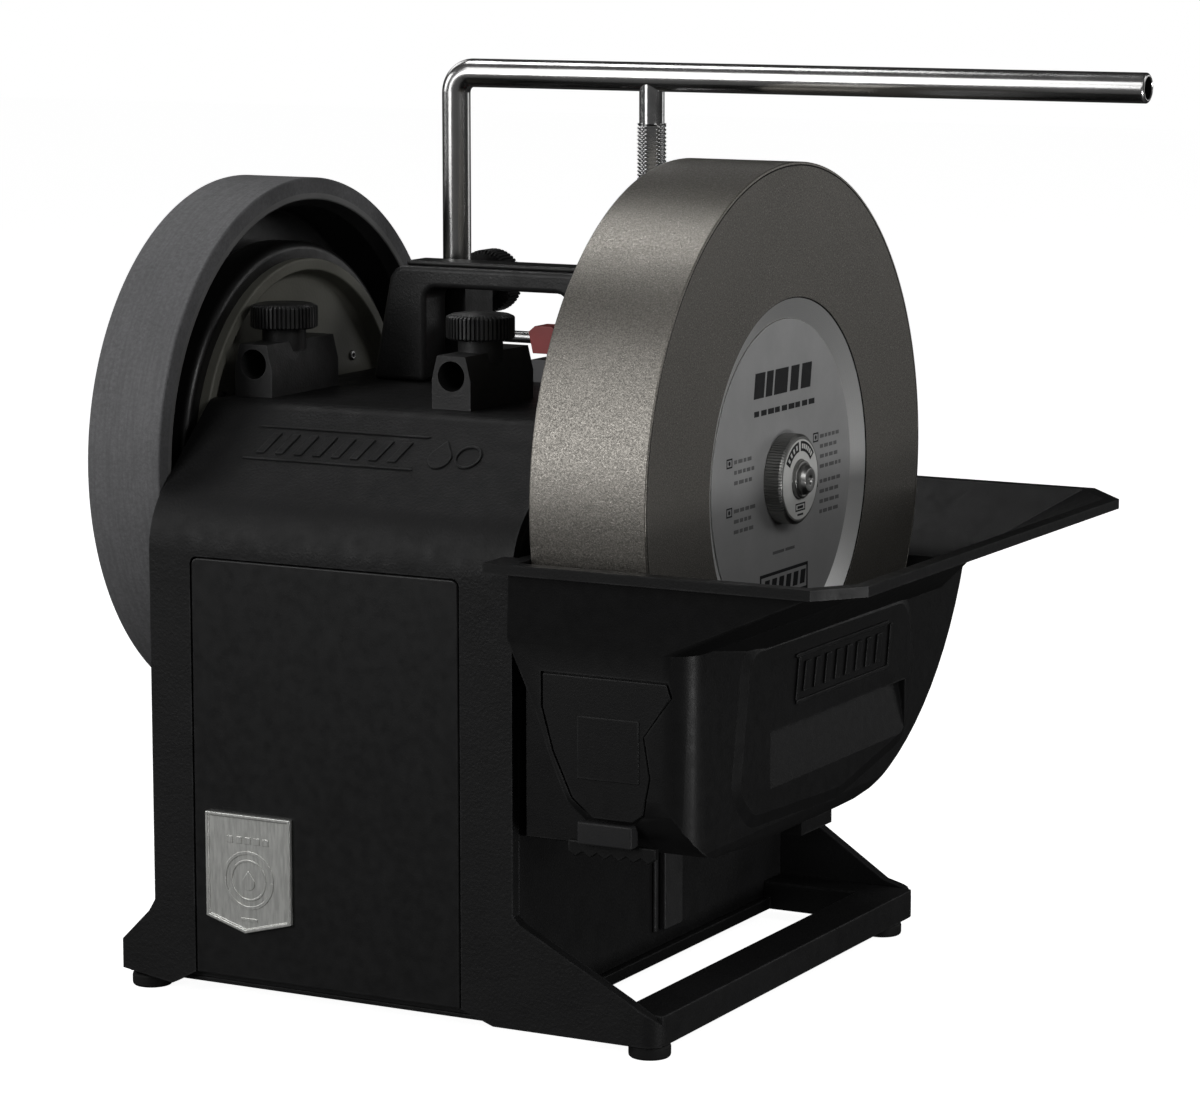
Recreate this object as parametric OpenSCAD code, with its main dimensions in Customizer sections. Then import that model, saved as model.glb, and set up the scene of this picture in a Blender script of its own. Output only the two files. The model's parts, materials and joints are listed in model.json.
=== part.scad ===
// Wet grinding sharpener: grinding wheel on the right of the shaft, honing wheel on the left,
// a cabinet between them with the motor inside, and a tool rest bar above the grinding wheel.
// X runs along the shaft towards the grinding wheel, Y towards the back, Z up from the floor.

/* [Cabinet] */
// Height of the shaft's axis above the floor
shaft_z = 208.5; // [207:0.5:210]
// Depth of the cabinet, front face to rear face
cab_depth = 242; // [240:1:246]
// Left edge of the front frame, along the shaft
cab_left = -104; // [-104:0.5:-103]
// Right side of the cabinet, along the shaft
cab_right = 61; // [60.5:0.1:61.5]
// Height of the flat top of the cabinet
cab_top = 236; // [235:0.5:237]
// Thickness of the cabinet's side walls
wall = 3; // [2.5:0.1:3.5]

/* [Wheels] */
// Radius of the grinding wheel
wheel_r = 125; // [122:0.5:125]
// Width of the grinding wheel
wheel_w = 49.5; // [45:0.5:50]
// Place of the grinding wheel's outer face along the shaft
wheel_face = 120; // [119:0.5:121]
// Radius of the honing wheel over its tread
hone_r = 111.8; // [108:0.1:112]
// Width of the honing wheel
hone_w = 34.8; // [33:0.1:35]
// Place of the honing wheel's inner face along the shaft
hone_face = -104.7; // [-105.5:0.1:-104.7]
// Diameter of the main shaft
shaft_d = 12; // [12:0.1:12.2]

/* [Tool support] */
// Diameter of the support bar and its legs
bar_d = 12; // [11.9:0.05:12]
// Height of the bar's axis above the shaft's axis
bar_rise = 154.7; // [150:0.1:160]
// Place of the free end of the bar along the shaft
bar_end = 249.8; // [240:0.1:255]
// Distance between the two legs, which is also the distance between the sleeves
leg_gap = 92.4; // [92:0.1:92.8]
// Distance of the legs behind the shaft's axis
leg_y = 44.6; // [44:0.1:46]

/* [Water trough] */
// Height of the trough's rim above the floor
rim_z = 189.6; // [188:0.1:190]
// Place of the rim's outer right edge along the shaft
rim_right = 208; // [200:1:212]
// Thickness of the trough's walls
trough_wall = 2.7; // [2.4:0.1:3]

/* [Hidden] */
$fn = 64;

eps = 0.01;
fit = 0.06;

// Cabinet
front_y = -cab_depth / 2;
frame_t = 5;
base_z = 5.5;
rail_top = 17.5;
rail_right = 123.5;
rail_w = 19.5;
foot_left = -120;
shoulder_z = 180;
shoulder_r = 32;
slope = 42.6;
shell_t = 4;
panel_left = -84.2;
panel_right = 37.4;
panel_bottom = 10.6;
panel_top = 178.7;
panel_t = 3;
panel_gap = 0.5;
lip = 4;
side_left = cab_left + 2.5;
foot_r = 8.2;
corner_r = 8;
foot_x = [-112, 115.3];
foot_y = [-111.5, 103];

// Top of the machine
sleeve_x = [-90.5, -90.5 + leg_gap];
sleeve_front = -64;
sleeve_back = -13;
sleeve_axis_z = 249.2;
sleeve_top = 257.2;
sleeve_w = 17.5;
clamp_y = -40.5;
clamp_knob_r = 13.8;
clamp_knob_z = 262;
clamp_knob_h = 9;
stud_r = 3;
leg_x = [-57.9, -57.9 + leg_gap];
post_top = 282;
post_w = 20;
post_front = 34;
post_back = 57;
post_knob_z = 273.6;
post_knob_y = 67;
handle_mid = (cab_left + cab_right) / 2;
handle_y = [12, 31];
handle_foot = 59.1;
handle_top = 286.5;
handle_window = 33.5;
handle_under = 275.6;
switch_y = 40;
switch_x = -11;
switch_axis_z = 254;

// Shaft train
bush_r = 10;
wheel_in = wheel_face - wheel_w;
recess_r = 71.5;
label_r = 63.5;
recess_t = 4;
nut_r = 18;
nut_t = 7.4;
hone_out = hone_face - hone_w;
tread_t = 6.5;
drive_r = 78;
drive_face = -105.6;
drive_back = -130;
tyre_r = 85;
tyre_face = -110;
tyre_back = -128;
knob_end = hone_out - 9;

// Motor
spindle_r = 5.5;
motor_angle = 40;
motor_gap = 0.25;
motor_reach = tyre_r + spindle_r + motor_gap;
motor_y = motor_reach * sin(motor_angle);
motor_z = shaft_z - motor_reach * cos(motor_angle);
motor_r = 38;
motor_x = [-86, 6];
hang_y = 46;
hang_z = 193;
pin_r = 4;

// Trough
tub_left = 64.4;
tub_right = 142;
tub_front = -131;
tub_bottom = 75;
tub_top = 160;
tub_arc = 132.6;
rim_t = 4;
rim_front = -138;
rim_rear = 157;
rim_lip = 3;
guide_y = [1, 17];
swell = 1.6;
swell_slope = 5;
swell_round = 10;
grip_y = [-66, 60];
grip_top = 120;
grip_bottom = 98;

// The bounding box's middle stands on the origin
mid_x = (bar_end + knob_end) / 2;
mid_y = (rim_rear + rim_front) / 2;

function arc(cx, cy, r, from, to, n) =
    [for (i = [0:n]) let (a = from + (to - from) * i / n) [cx + r * cos(a), cy + r * sin(a)]];

module in_place() translate([-mid_x, -mid_y, 0]) children();
module along_x(x0, x1) translate([x0, 0, 0]) rotate([90, 0, 90]) linear_extrude(x1 - x0) children();
module along_y(y0, y1) translate([0, y1, 0]) rotate([90, 0, 0]) linear_extrude(y1 - y0) children();
module on_shaft() translate([0, 0, shaft_z]) rotate([0, 90, 0]) children();
module ring_x(x0, x1, outer, inner) on_shaft() translate([0, 0, x0]) difference() {
    cylinder(h = x1 - x0, r = outer, $fn = 128);
    translate([0, 0, -1]) cylinder(h = x1 - x0 + 2, r = inner);
}

// Cabinet shoulder, as (y, z) points: the lower bend, then the crown where the slope meets the flat top
crown_r = 10;
crown_y = front_y + shoulder_r
    - (shoulder_r - crown_r - (cab_top - crown_r - shoulder_z) * cos(slope)) / sin(slope);
function shoulder(inset) = concat(
    arc(front_y + shoulder_r, shoulder_z, shoulder_r - inset, 180, 90 + slope, 6),
    arc(crown_y, cab_top - crown_r, crown_r - inset, 90 + slope, 90, 4));

module frame_outline(brace_top, brace_foot) polygon(concat(
    [[foot_left, base_z + 2.5], [foot_left, 20], [-107, 33]],
    [[cab_left, 38], [cab_left, shoulder_z], [cab_right, shoulder_z], [cab_right, brace_top]],
    [[cab_right + 3, brace_top - 3], [110, brace_foot], [rail_right - 4, rail_top], [rail_right, rail_top - 4]],
    [[rail_right, base_z], [52, base_z], [panel_right + panel_gap, panel_bottom]],
    [[panel_left - panel_gap, panel_bottom], [-96, base_z - 1]]));

module panel_shape(grow) {
    r = 3;
    polygon(concat(
        [[panel_left - grow, panel_bottom - 8], [panel_right + grow, panel_bottom - 8]],
        arc(panel_right + grow - r, panel_top + grow - r, r, 0, 90, 4),
        arc(panel_left - grow + r, panel_top + grow - r, r, 90, 180, 4)));
}

// Rounds the base's outer corner, seen from above
module corner_waste() difference() {
    translate([rail_right - corner_r, front_y - 1, 0]) cube([corner_r + 1, corner_r + 1, 30]);
    translate([rail_right - corner_r, front_y + corner_r, -1]) cylinder(h = 32, r = corner_r);
}

module frame_end(brace_top, brace_foot) {
    difference() {
        along_y(front_y, front_y + frame_t) frame_outline(brace_top, brace_foot);
        corner_waste();
        along_y(front_y - 1, front_y + panel_t) panel_shape(panel_gap);
        along_y(front_y, front_y + frame_t + 1) panel_shape(-lip);
    }
    along_x(cab_left, cab_right) polygon(concat(
        [[front_y, shoulder_z - eps]], shoulder(0),
        [for (i = [11:-1:0]) shoulder(shell_t)[i]], [[front_y + shell_t, shoulder_z - eps]]));
}

module front_frame() color("#1b1b1c") in_place() frame_end(50, 23);
module rear_frame() color("#1b1b1c") in_place() mirror([0, 1, 0]) frame_end(53.5, 20);

module top_casting() color("#1c1c1d") in_place() difference() {
    union() {
        translate([side_left, crown_y, cab_top - shell_t]) cube([cab_right - side_left, -2 * crown_y, shell_t]);
        for (x = [side_left + wall, cab_right - wall - 12])
            along_x(x, x + 12) polygon([
                [-30, cab_top - 1], [30, cab_top - 1], [18, shaft_z - 16], [-18, shaft_z - 16]]);
    }
    on_shaft() translate([0, 0, -150]) cylinder(h = 300, r = bush_r);
    for (x = leg_x) translate([x, leg_y, cab_top - 20]) cylinder(h = 40, r = bar_d / 2 + 1);
}

module side_outline() polygon(concat(
    [[front_y + frame_t, panel_bottom], [front_y + frame_t, shoulder_z]],
    [for (i = [2:11]) shoulder(shell_t)[i]],
    [for (i = [11:-1:2]) [-shoulder(shell_t)[i][0], shoulder(shell_t)[i][1]]],
    [[-front_y - frame_t, shoulder_z], [-front_y - frame_t, panel_bottom]]));

module left_side_wall() color("#1a1a1b") in_place() difference() {
    along_x(side_left, side_left + wall) side_outline();
    on_shaft() translate([0, 0, -150]) cylinder(h = 150, r = bush_r);
    translate([side_left - 1, motor_y, motor_z]) rotate([0, 90, 0]) cylinder(h = wall + 2, r = 12);
}

module right_side_wall() color("#1a1a1b") in_place() difference() {
    along_x(cab_right - wall, cab_right) side_outline();
    on_shaft() cylinder(h = 150, r = bush_r);
}

module base_frame() color("#1b1b1c") in_place() {
    inner = -front_y - frame_t;
    difference() {
        translate([rail_right - rail_w, -inner, base_z]) cube([rail_w, 2 * inner, rail_top - base_z]);
        corner_waste();
        mirror([0, 1, 0]) corner_waste();
    }
    translate([cab_right, 99.5, base_z]) cube([rail_right - rail_w - cab_right, inner - 99.5, rail_top - base_z]);
    translate([cab_right - wall, -inner, base_z]) cube([wall + 3, 2 * inner, panel_bottom - base_z]);
    translate([cab_left, -inner, base_z]) cube([cab_right - wall - cab_left, 2 * inner, 2]);
    for (y = [-inner, inner - 22]) translate([foot_left, y, base_z]) cube([17, 22, 13]);
}

module bottom_cover() color("#161617") in_place()
    translate([side_left, front_y + frame_t, base_z + 2])
        cube([cab_right - wall - side_left, cab_depth - 2 * frame_t, panel_bottom - base_z - 2]);

module front_panel() color("#161617") in_place()
    along_y(front_y, front_y + panel_t) intersection() {
        panel_shape(0);
        translate([-200, panel_bottom]) square([400, 400]);
    }

module panel_badge() color("#b9bab6") in_place() difference() {
    along_y(front_y - 2, front_y) polygon([[-78, 77.5], [-38.5, 77.5], [-38.5, 35], [-59.7, 29.5], [-78, 35]]);
    along_y(front_y - 3, front_y - 1.2)
        polygon([[-76.6, 76.1], [-39.9, 76.1], [-39.9, 36.1], [-59.7, 31], [-76.6, 36.1]]);
}

module rear_panel() color("#161617") in_place() mirror([0, 1, 0]) difference() {
    along_y(front_y, front_y + panel_t) intersection() {
        panel_shape(0);
        translate([-200, panel_bottom]) square([400, 400]);
    }
    for (i = [0:8]) translate([-60 + i * 9, front_y - 1, 110]) cube([4, panel_t + 2, 46]);
    translate([10, front_y - 1, 34]) rotate([-90, 0, 0]) cylinder(h = panel_t + 2, r = 8);
}

module power_inlet() color("#0e0e0f") in_place() translate([10, -front_y, 34]) rotate([90, 0, 0]) difference() {
    union() {
        translate([0, 0, -6]) cylinder(h = 6, r = 11);
        cylinder(h = 12, r = 8);
    }
    translate([0, 0, -7]) cylinder(h = 20, r = 3.8);
}

module rubber_feet() color("#101011") in_place() for (x = foot_x, y = foot_y)
    translate([x, y, 0]) cylinder(h = base_z, r = foot_r);

module carry_handle() color("#191919") in_place() along_y(handle_y[0], handle_y[1])
    translate([handle_mid, 0]) polygon(concat(
        [[-handle_foot, cab_top], [-52.5, 270]],
        arc(-43, 276.5, 8, 165, 90, 6),
        arc(43, 276.5, 8, 90, 15, 6),
        [[52.5, 270], [handle_foot, cab_top], [handle_window, cab_top]],
        arc(handle_window - 5, handle_under - 5, 5, 0, 90, 4),
        arc(-handle_window + 5, handle_under - 5, 5, 90, 180, 4),
        [[-handle_window, cab_top]]));

module handle_cap() color("#151515") in_place() translate([handle_mid - 43, handle_y[0] + 2, 284.5])
    cube([86, handle_y[1] - handle_y[0] - 4, handle_top - 284.5]);

module front_sleeve(x) difference() {
    union() {
        along_y(sleeve_front, sleeve_back) translate([x, 0]) polygon([
            [-sleeve_w / 2, cab_top], [-sleeve_w / 2, 247.5], [-6.4, sleeve_top],
            [6.4, sleeve_top], [sleeve_w / 2, 247.5], [sleeve_w / 2, cab_top]]);
        translate([x, clamp_y, sleeve_top - 4]) cylinder(h = clamp_knob_z - sleeve_top + 4 - 0.3, r = 9);
    }
    translate([x, sleeve_front - 1, sleeve_axis_z]) rotate([-90, 0, 0]) cylinder(h = 80, r = bar_d / 2 + fit);
    translate([x, clamp_y, sleeve_axis_z]) cylinder(h = 20, r = stud_r + fit);
}

module front_sleeves() color("#1d1d1e") in_place() for (x = sleeve_x) front_sleeve(x);

module rear_sleeve(x) difference() {
    union() {
        translate([x - post_w / 2, post_front, cab_top]) cube([post_w, post_back - post_front, post_top - cab_top]);
        translate([x, post_back - 1, post_knob_z]) rotate([-90, 0, 0]) cylinder(h = post_knob_y - post_back + 0.7, r = 8);
    }
    translate([x, leg_y, cab_top - 1]) cylinder(h = 80, r = bar_d / 2 + fit);
    translate([x, leg_y, post_knob_z]) rotate([-90, 0, 0]) cylinder(h = 40, r = stud_r + fit);
}

module rear_sleeves() color("#1d1d1e") in_place() for (x = leg_x) rear_sleeve(x);

module clamp_knob(r, h, stud) {
    cylinder(h = h, r = r);
    translate([0, 0, h]) cylinder(h = 1.5, r1 = r, r2 = r - 4);
    translate([0, 0, -stud]) cylinder(h = stud + 1, r = stud_r);
}

module front_clamp_knob(i) color("#111112") in_place()
    translate([sleeve_x[i], clamp_y, clamp_knob_z]) clamp_knob(clamp_knob_r, clamp_knob_h, 6.4);
module rear_clamp_knob(i) color("#111112") in_place()
    translate([leg_x[i], post_knob_y, post_knob_z]) rotate([-90, 0, 0]) clamp_knob(13.5, 10.5, 16);
module front_left_clamp_knob() front_clamp_knob(0);
module front_right_clamp_knob() front_clamp_knob(1);
module rear_left_clamp_knob() rear_clamp_knob(0);
module rear_right_clamp_knob() rear_clamp_knob(1);

bar_z = shaft_z + bar_rise;
bend_r = 8.5;
leg_end = 200;
neck_z = 346;
bar_hole = 14;
bar_hole_r = 4.3;
module support_bar() color("#d8d8da") in_place() translate([0, leg_y, 0]) {
    r = bar_d / 2;
    translate([leg_x[0], 0, leg_end]) cylinder(h = bar_z - bend_r - leg_end, r = r);
    translate([leg_x[0] + bend_r, 0, bar_z - bend_r]) rotate([90, 0, 0])
        rotate([0, 0, 90]) rotate_extrude(angle = 90) translate([bend_r, 0]) circle(r = r);
    translate([leg_x[0] + bend_r, 0, bar_z]) rotate([0, 90, 0]) difference() {
        union() {
            cylinder(h = bar_end - leg_x[0] - bend_r - 1, r = r);
            translate([0, 0, bar_end - leg_x[0] - bend_r - 1]) cylinder(h = 1, r1 = r, r2 = r - 1);
        }
        translate([0, 0, bar_end - leg_x[0] - bend_r - bar_hole]) cylinder(h = bar_hole + 1, r = bar_hole_r);
    }
}

module threaded_leg() color("#c9c9cb") in_place() translate([leg_x[1], leg_y, 0]) {
    translate([0, 0, leg_end]) cylinder(h = neck_z - leg_end, r = bar_d / 2);
    difference() {
        translate([0, 0, neck_z]) cylinder(h = bar_z - neck_z, r = 5.2);
        translate([-20, 0, bar_z]) rotate([0, 90, 0]) cylinder(h = 40, r = bar_d / 2);
    }
}

module micro_adjust_nut() color("#161617") in_place() translate([leg_x[1], leg_y, post_top + 0.3]) difference() {
    cylinder(h = 10, r = 13);
    translate([0, 0, -1]) cylinder(h = 12, r = bar_d / 2 + fit);
}

module main_shaft() color("#c4c5c6") in_place() on_shaft() {
    translate([0, 0, hone_out - 4]) cylinder(h = wheel_face + 6 - hone_out + 4, r = shaft_d / 2);
    translate([0, 0, wheel_face + 6]) cylinder(h = 2.5, r1 = shaft_d / 2, r2 = 3.5);
}

module shaft_bushes() color("#e6e3da") in_place()
    for (x = [side_left, cab_right - wall - 12]) ring_x(x, x + 12 + wall, bush_r, shaft_d / 2 + fit);

module grinding_wheel() color("#4d4a45") in_place() on_shaft() difference() {
    translate([0, 0, wheel_in]) cylinder(h = wheel_w, r = wheel_r, $fn = 180);
    translate([0, 0, wheel_face - recess_t]) cylinder(h = recess_t + eps, r1 = label_r, r2 = recess_r, $fn = 128);
    translate([0, 0, wheel_in - 1]) cylinder(h = wheel_w, r = shaft_d / 2);
}

module wheel_label_disc() color("#b4b5b5") in_place()
    ring_x(wheel_face - recess_t, wheel_face - recess_t + 0.5, label_r - 0.3, shaft_d / 2);

module wheel_flange() color("#9b9c9d") in_place() ring_x(wheel_in - 4, wheel_in, 17, shaft_d / 2);

module quick_lock_nut() color("#dcdcd8") in_place() on_shaft()
    translate([0, 0, wheel_face - recess_t + 0.6]) difference() {
        union() {
            cylinder(h = nut_t - 1.2, r = nut_r);
            translate([0, 0, nut_t - 1.2]) cylinder(h = 1.2, r1 = nut_r, r2 = nut_r - 1.2);
            cylinder(h = nut_t + 1.8, r = 7.6);
        }
        translate([0, 0, -1]) cylinder(h = nut_t + 4, r = shaft_d / 2 + fit);
    }

module honing_wheel() color("#202022") in_place() on_shaft() rotate_extrude($fn = 128) polygon([
    [shaft_d / 2, hone_out], [40, hone_out], [44, hone_out + 3], [96, hone_out + 3], [99, hone_out],
    [hone_r - tread_t, hone_out], [hone_r - tread_t, hone_face], [hone_r - tread_t - 2.5, hone_face],
    [99.8, hone_face - 6], [99, drive_back - 2], [shaft_d / 2, drive_back - 2]]);

module honing_tread() color("#3a3b3d") in_place() ring_x(hone_out, hone_face, hone_r, hone_r - tread_t);

module drive_wheel() color("#a9a99b") in_place() on_shaft() rotate_extrude($fn = 128) polygon([
    [shaft_d / 2, drive_back], [drive_r, drive_back], [drive_r, drive_face], [drive_r - 4.8, drive_face],
    [drive_r - 6.8, drive_face - 7], [24, drive_face - 7], [22, drive_face - 1], [shaft_d / 2, drive_face - 1]]);

module drive_tyre() color("#131314") in_place() ring_x(tyre_back, tyre_face, tyre_r, drive_r);

module drive_screws() color("#8d8e8f") in_place() on_shaft() for (a = [4:120:244]) rotate([0, 0, a])
    translate([58, 0, drive_face - 7]) cylinder(h = 1, r = 2.2);

module honing_knob() color("#141415") in_place() on_shaft() difference() {
    translate([0, 0, knob_end]) cylinder(h = hone_out - knob_end - 0.05, r = 25);
    translate([0, 0, knob_end + 3]) cylinder(h = 20, r = shaft_d / 2 + fit);
}

module at_motor() translate([0, motor_y, motor_z]) rotate([0, 90, 0]) children();
module motor_housing() color("#5b5d60") in_place() at_motor() difference() {
    translate([0, 0, motor_x[0] + 8]) cylinder(h = motor_x[1] - motor_x[0] - 16, r = motor_r);
    translate([0, 0, motor_x[0] + 7]) cylinder(h = 200, r = motor_r - 14);
}

module motor_end_bells() color("#8a8c8e") in_place() at_motor() for (x = [motor_x[0], motor_x[1] - 8]) difference() {
    translate([0, 0, x]) cylinder(h = 8, r = motor_r);
    translate([0, 0, x - 1]) cylinder(h = 10, r = spindle_r + fit);
}

module motor_hanger() color("#77797b") in_place() for (x = [motor_x[0] + 10, motor_x[1] - 28]) difference() {
    union() {
        translate([x, hang_y, hang_z]) rotate([0, 90, 0]) cylinder(h = 8, r = 9);
        along_x(x, x + 8) polygon([
            [hang_y - 9, hang_z], [hang_y + 9, hang_z],
            [motor_y + 16, motor_z + 38], [motor_y - 10, motor_z + 38]]);
    }
    at_motor() translate([0, 0, x - 1]) cylinder(h = 10, r = motor_r);
    translate([x - 1, hang_y, hang_z]) rotate([0, 90, 0]) cylinder(h = 10, r = pin_r + fit);
}

module motor_hinge_pin() color("#b0b1b2") in_place()
    translate([side_left + wall, hang_y, hang_z]) rotate([0, 90, 0])
        cylinder(h = cab_right - side_left - 2 * wall, r = pin_r);

module motor_spindle() color("#c4c5c6") in_place() at_motor() {
    translate([0, 0, tyre_back]) cylinder(h = motor_x[1] + 18 - tyre_back, r = spindle_r);
    translate([0, 0, motor_x[0] + 12]) cylinder(h = motor_x[1] - motor_x[0] - 24, r = 22);
}

module cooling_fan() color("#2b2c2e") in_place() at_motor() translate([0, 0, motor_x[1] + 2]) difference() {
    union() {
        cylinder(h = 14, r = 10);
        for (i = [0:7]) rotate([0, 0, i * 45]) translate([0, -1, 0]) cube([34, 2, 12]);
        cylinder(h = 1.5, r = 34);
    }
    translate([0, 0, -1]) cylinder(h = 30, r = spindle_r);
}

module run_capacitor() color("#d9d9d4") in_place()
    translate([-60, -70, panel_bottom]) cylinder(h = 60, r = 17);

module switch_housing() color("#77797c") in_place() difference() {
    union() {
        translate([switch_x - 5.5, switch_y - 6, cab_top]) cube([11, 12, 9.5]);
        translate([-46, switch_y - 6, cab_top]) cube([8, 12, switch_axis_z + 5 - cab_top]);
    }
    translate([-47, switch_y, switch_axis_z]) rotate([0, 90, 0]) cylinder(h = 10, r = 2.5);
}

module switch_rod() color("#a5a6a8") in_place()
    translate([-46, switch_y, switch_axis_z]) rotate([0, 90, 0]) cylinder(h = 40, r = 2.5);

module switch_lever() color("#b3262b") in_place() difference() {
    along_y(switch_y - 5.5, switch_y + 5.5) polygon([
        [switch_x - 5, 248], [switch_x + 5, 248], [switch_x + 7, 257],
        [switch_x + 4, 259.5], [switch_x - 4, 259.5], [switch_x - 7, 257]]);
    translate([-47, switch_y, switch_axis_z]) rotate([0, 90, 0]) cylinder(h = 60, r = 2.5 + fit);
}

// Tub of the trough: flat front, sloping floor and a back that follows the wheel
module tub(inset, top) {
    back = sqrt(pow(tub_arc - inset, 2) - pow(shaft_z - tub_top, 2));
    intersection() {
        along_x(tub_left + inset, tub_right - inset) polygon(concat(
            [[tub_front + inset, top]],
            arc(tub_front + 25, tub_bottom + 29, 25 - inset, 180, 262, 6),
            [[-64, tub_bottom + 1 + inset]],
            arc(0, shaft_z, tub_arc - inset, 270, 270 + acos((shaft_z - tub_top) / (tub_arc - inset)), 16),
            [[back, top]]));
        along_y(tub_front, 200) polygon(concat(
            [[tub_left, top], [tub_left, tub_bottom]],
            arc(tub_right - 8, tub_bottom + 8, 8 - inset, 270, 360, 4),
            [[tub_right - inset, top]]));
        translate([0, 0, tub_bottom]) linear_extrude(top - tub_bottom) polygon(concat(
            [[tub_left, 200], [tub_left, tub_front]],
            arc(tub_right - 12, tub_front + 12, 12 - inset, 270, 360, 5),
            [[tub_right - inset, 200]]));
    }
}

module tub_plan(inset) polygon(concat(
    [[tub_left + inset, 122 - inset], [tub_left + inset, tub_front + inset]],
    arc(tub_right - 12, tub_front + 12, 12 - inset, 270, 360, 5),
    [[tub_right - inset, 122 - inset]]));

module rim_plan(inset) polygon([
    [tub_left + inset, rim_rear - inset], [tub_left + inset, rim_front + inset],
    [rim_right - 14.5 - inset / 2, rim_front + inset], [rim_right - inset, rim_front + 19 + inset / 2],
    [rim_right - inset, rim_rear - 26 - inset / 2], [rim_right - 21 - inset / 2, rim_rear - inset]]);

module flare(inset, z0, z1, edge) hull() {
    translate([0, 0, z0]) linear_extrude(0.1) tub_plan(inset);
    translate([0, 0, z1 - 0.1]) linear_extrude(0.1) rim_plan(edge);
}

// Wedge that eases the tub's right wall into the flare
module flare_root() hull() {
    translate([tub_right - 1, -118, tub_top]) cube([1, 236, 0.1]);
    translate([tub_right - 1, -70, tub_top - 8]) cube([1, 170, 8]);
    translate([tub_right + 18, -60, tub_top + 7.4]) cube([0.1, 150, 0.1]);
}

// Relief below the tub's front left corner
module corner_relief(grow) along_y(tub_front - 10, -116 + grow) translate([grow, 0]) polygon([
    [55, 160], [tub_left, 160], [76.4, 134.6], [81.8, 119], [90, 100], [97, 93], [97, 60], [55, 60]]);

module swell_outline(grow) offset(r = swell_round + grow) offset(delta = -swell_round) polygon([
    [-82, 153], [62, 152], [67, 126], [60, 99], [-3, 87], [-80, 90], [-92, 101], [-84, 148]]);

// Low swell of the tub's right side, with sloped borders and round corners
module side_swell() hull() {
    along_x(tub_right - 0.5, tub_right) swell_outline(swell_slope);
    along_x(tub_right, tub_right + swell) swell_outline(0);
}

// Finger grip in the tub's right side, deepest under its upper edge
module grip_recess() along_y(grip_y[0], grip_y[1]) polygon([
    [tub_right + 3, grip_top], [tub_right - 1.8, grip_top], [tub_right + 1.6, grip_bottom],
    [tub_right + 3, grip_bottom]]);

module water_trough() color("#18181a") in_place() difference() {
    union() {
        difference() {
            tub(0, tub_top);
            corner_relief(0);
        }
        flare(0, tub_top - 1, rim_z - rim_t + 0.5, rim_lip);
        flare_root();
        translate([0, 0, rim_z - rim_t]) linear_extrude(rim_t) rim_plan(0);
        translate([58, rim_front, rim_z - rim_t]) cube([tub_left - 58 + 1, front_y - rim_front - 0.6, rim_t]);
        side_swell();
        translate([118, -26, 71]) cube([20, 28, 16]);
        for (y = [guide_y[0] - 3.2, guide_y[1] + 0.4])
            translate([cab_right + 0.5, y, 120]) cube([tub_left - cab_right, 2.8, 30]);
    }
    difference() {
        tub(trough_wall, tub_top + 1);
        corner_relief(trough_wall);
    }
    flare(trough_wall, tub_top, rim_z + 0.1, rim_lip + trough_wall);
    along_y(tub_front - 1, tub_front + 1.4) scraper_shape();
    catch_block();
    grip_recess();
}

module scraper_shape() polygon([
    [79, 149.2], [132.4, 149.2], [134.2, 143.5], [122.8, 127.7], [125.5, 112], [122.5, 97.3],
    [118, 94], [101, 94], [92, 101.5], [83.8, 119], [79, 136]]);

module trough_scraper() color("#151516") in_place() along_y(tub_front, tub_front + 1.4) scraper_shape();

module trough_guide() color("#1a1a1b") in_place() {
    translate([cab_right, guide_y[0], 18]) cube([3, guide_y[1] - guide_y[0], 135]);
    translate([cab_right, guide_y[0] - 6, 18]) cube([1.5, 2.6, 80]);
}

module catch_block() translate([95, tub_front - 1.2, 84.5]) cube([23, 6, 8.8]);
module trough_catch() color("#77787a") in_place() catch_block();

module frame_screws() color("#9a9b9c") in_place()
    for (x = [-94, 50], z = [60, 130]) translate([x, -front_y, z]) rotate([-90, 0, 0]) cylinder(h = 1.5, r = 4);

front_frame();
rear_frame();
top_casting();
left_side_wall();
right_side_wall();
base_frame();
bottom_cover();
front_panel();
panel_badge();
rear_panel();
power_inlet();
rubber_feet();
carry_handle();
handle_cap();
front_sleeves();
rear_sleeves();
front_left_clamp_knob();
front_right_clamp_knob();
rear_left_clamp_knob();
rear_right_clamp_knob();
support_bar();
threaded_leg();
micro_adjust_nut();
main_shaft();
shaft_bushes();
grinding_wheel();
wheel_label_disc();
wheel_flange();
quick_lock_nut();
honing_wheel();
honing_tread();
drive_wheel();
drive_tyre();
drive_screws();
honing_knob();
motor_housing();
motor_end_bells();
motor_hanger();
motor_hinge_pin();
motor_spindle();
cooling_fan();
run_capacitor();
switch_housing();
switch_rod();
switch_lever();
water_trough();
trough_scraper();
trough_guide();
trough_catch();
frame_screws();
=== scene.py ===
import json
import random
from math import atan2, cos, pi, radians, sin, tan

import bmesh
import bpy
from mathutils import Matrix, Vector
from mathutils.bvhtree import BVHTree


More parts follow.
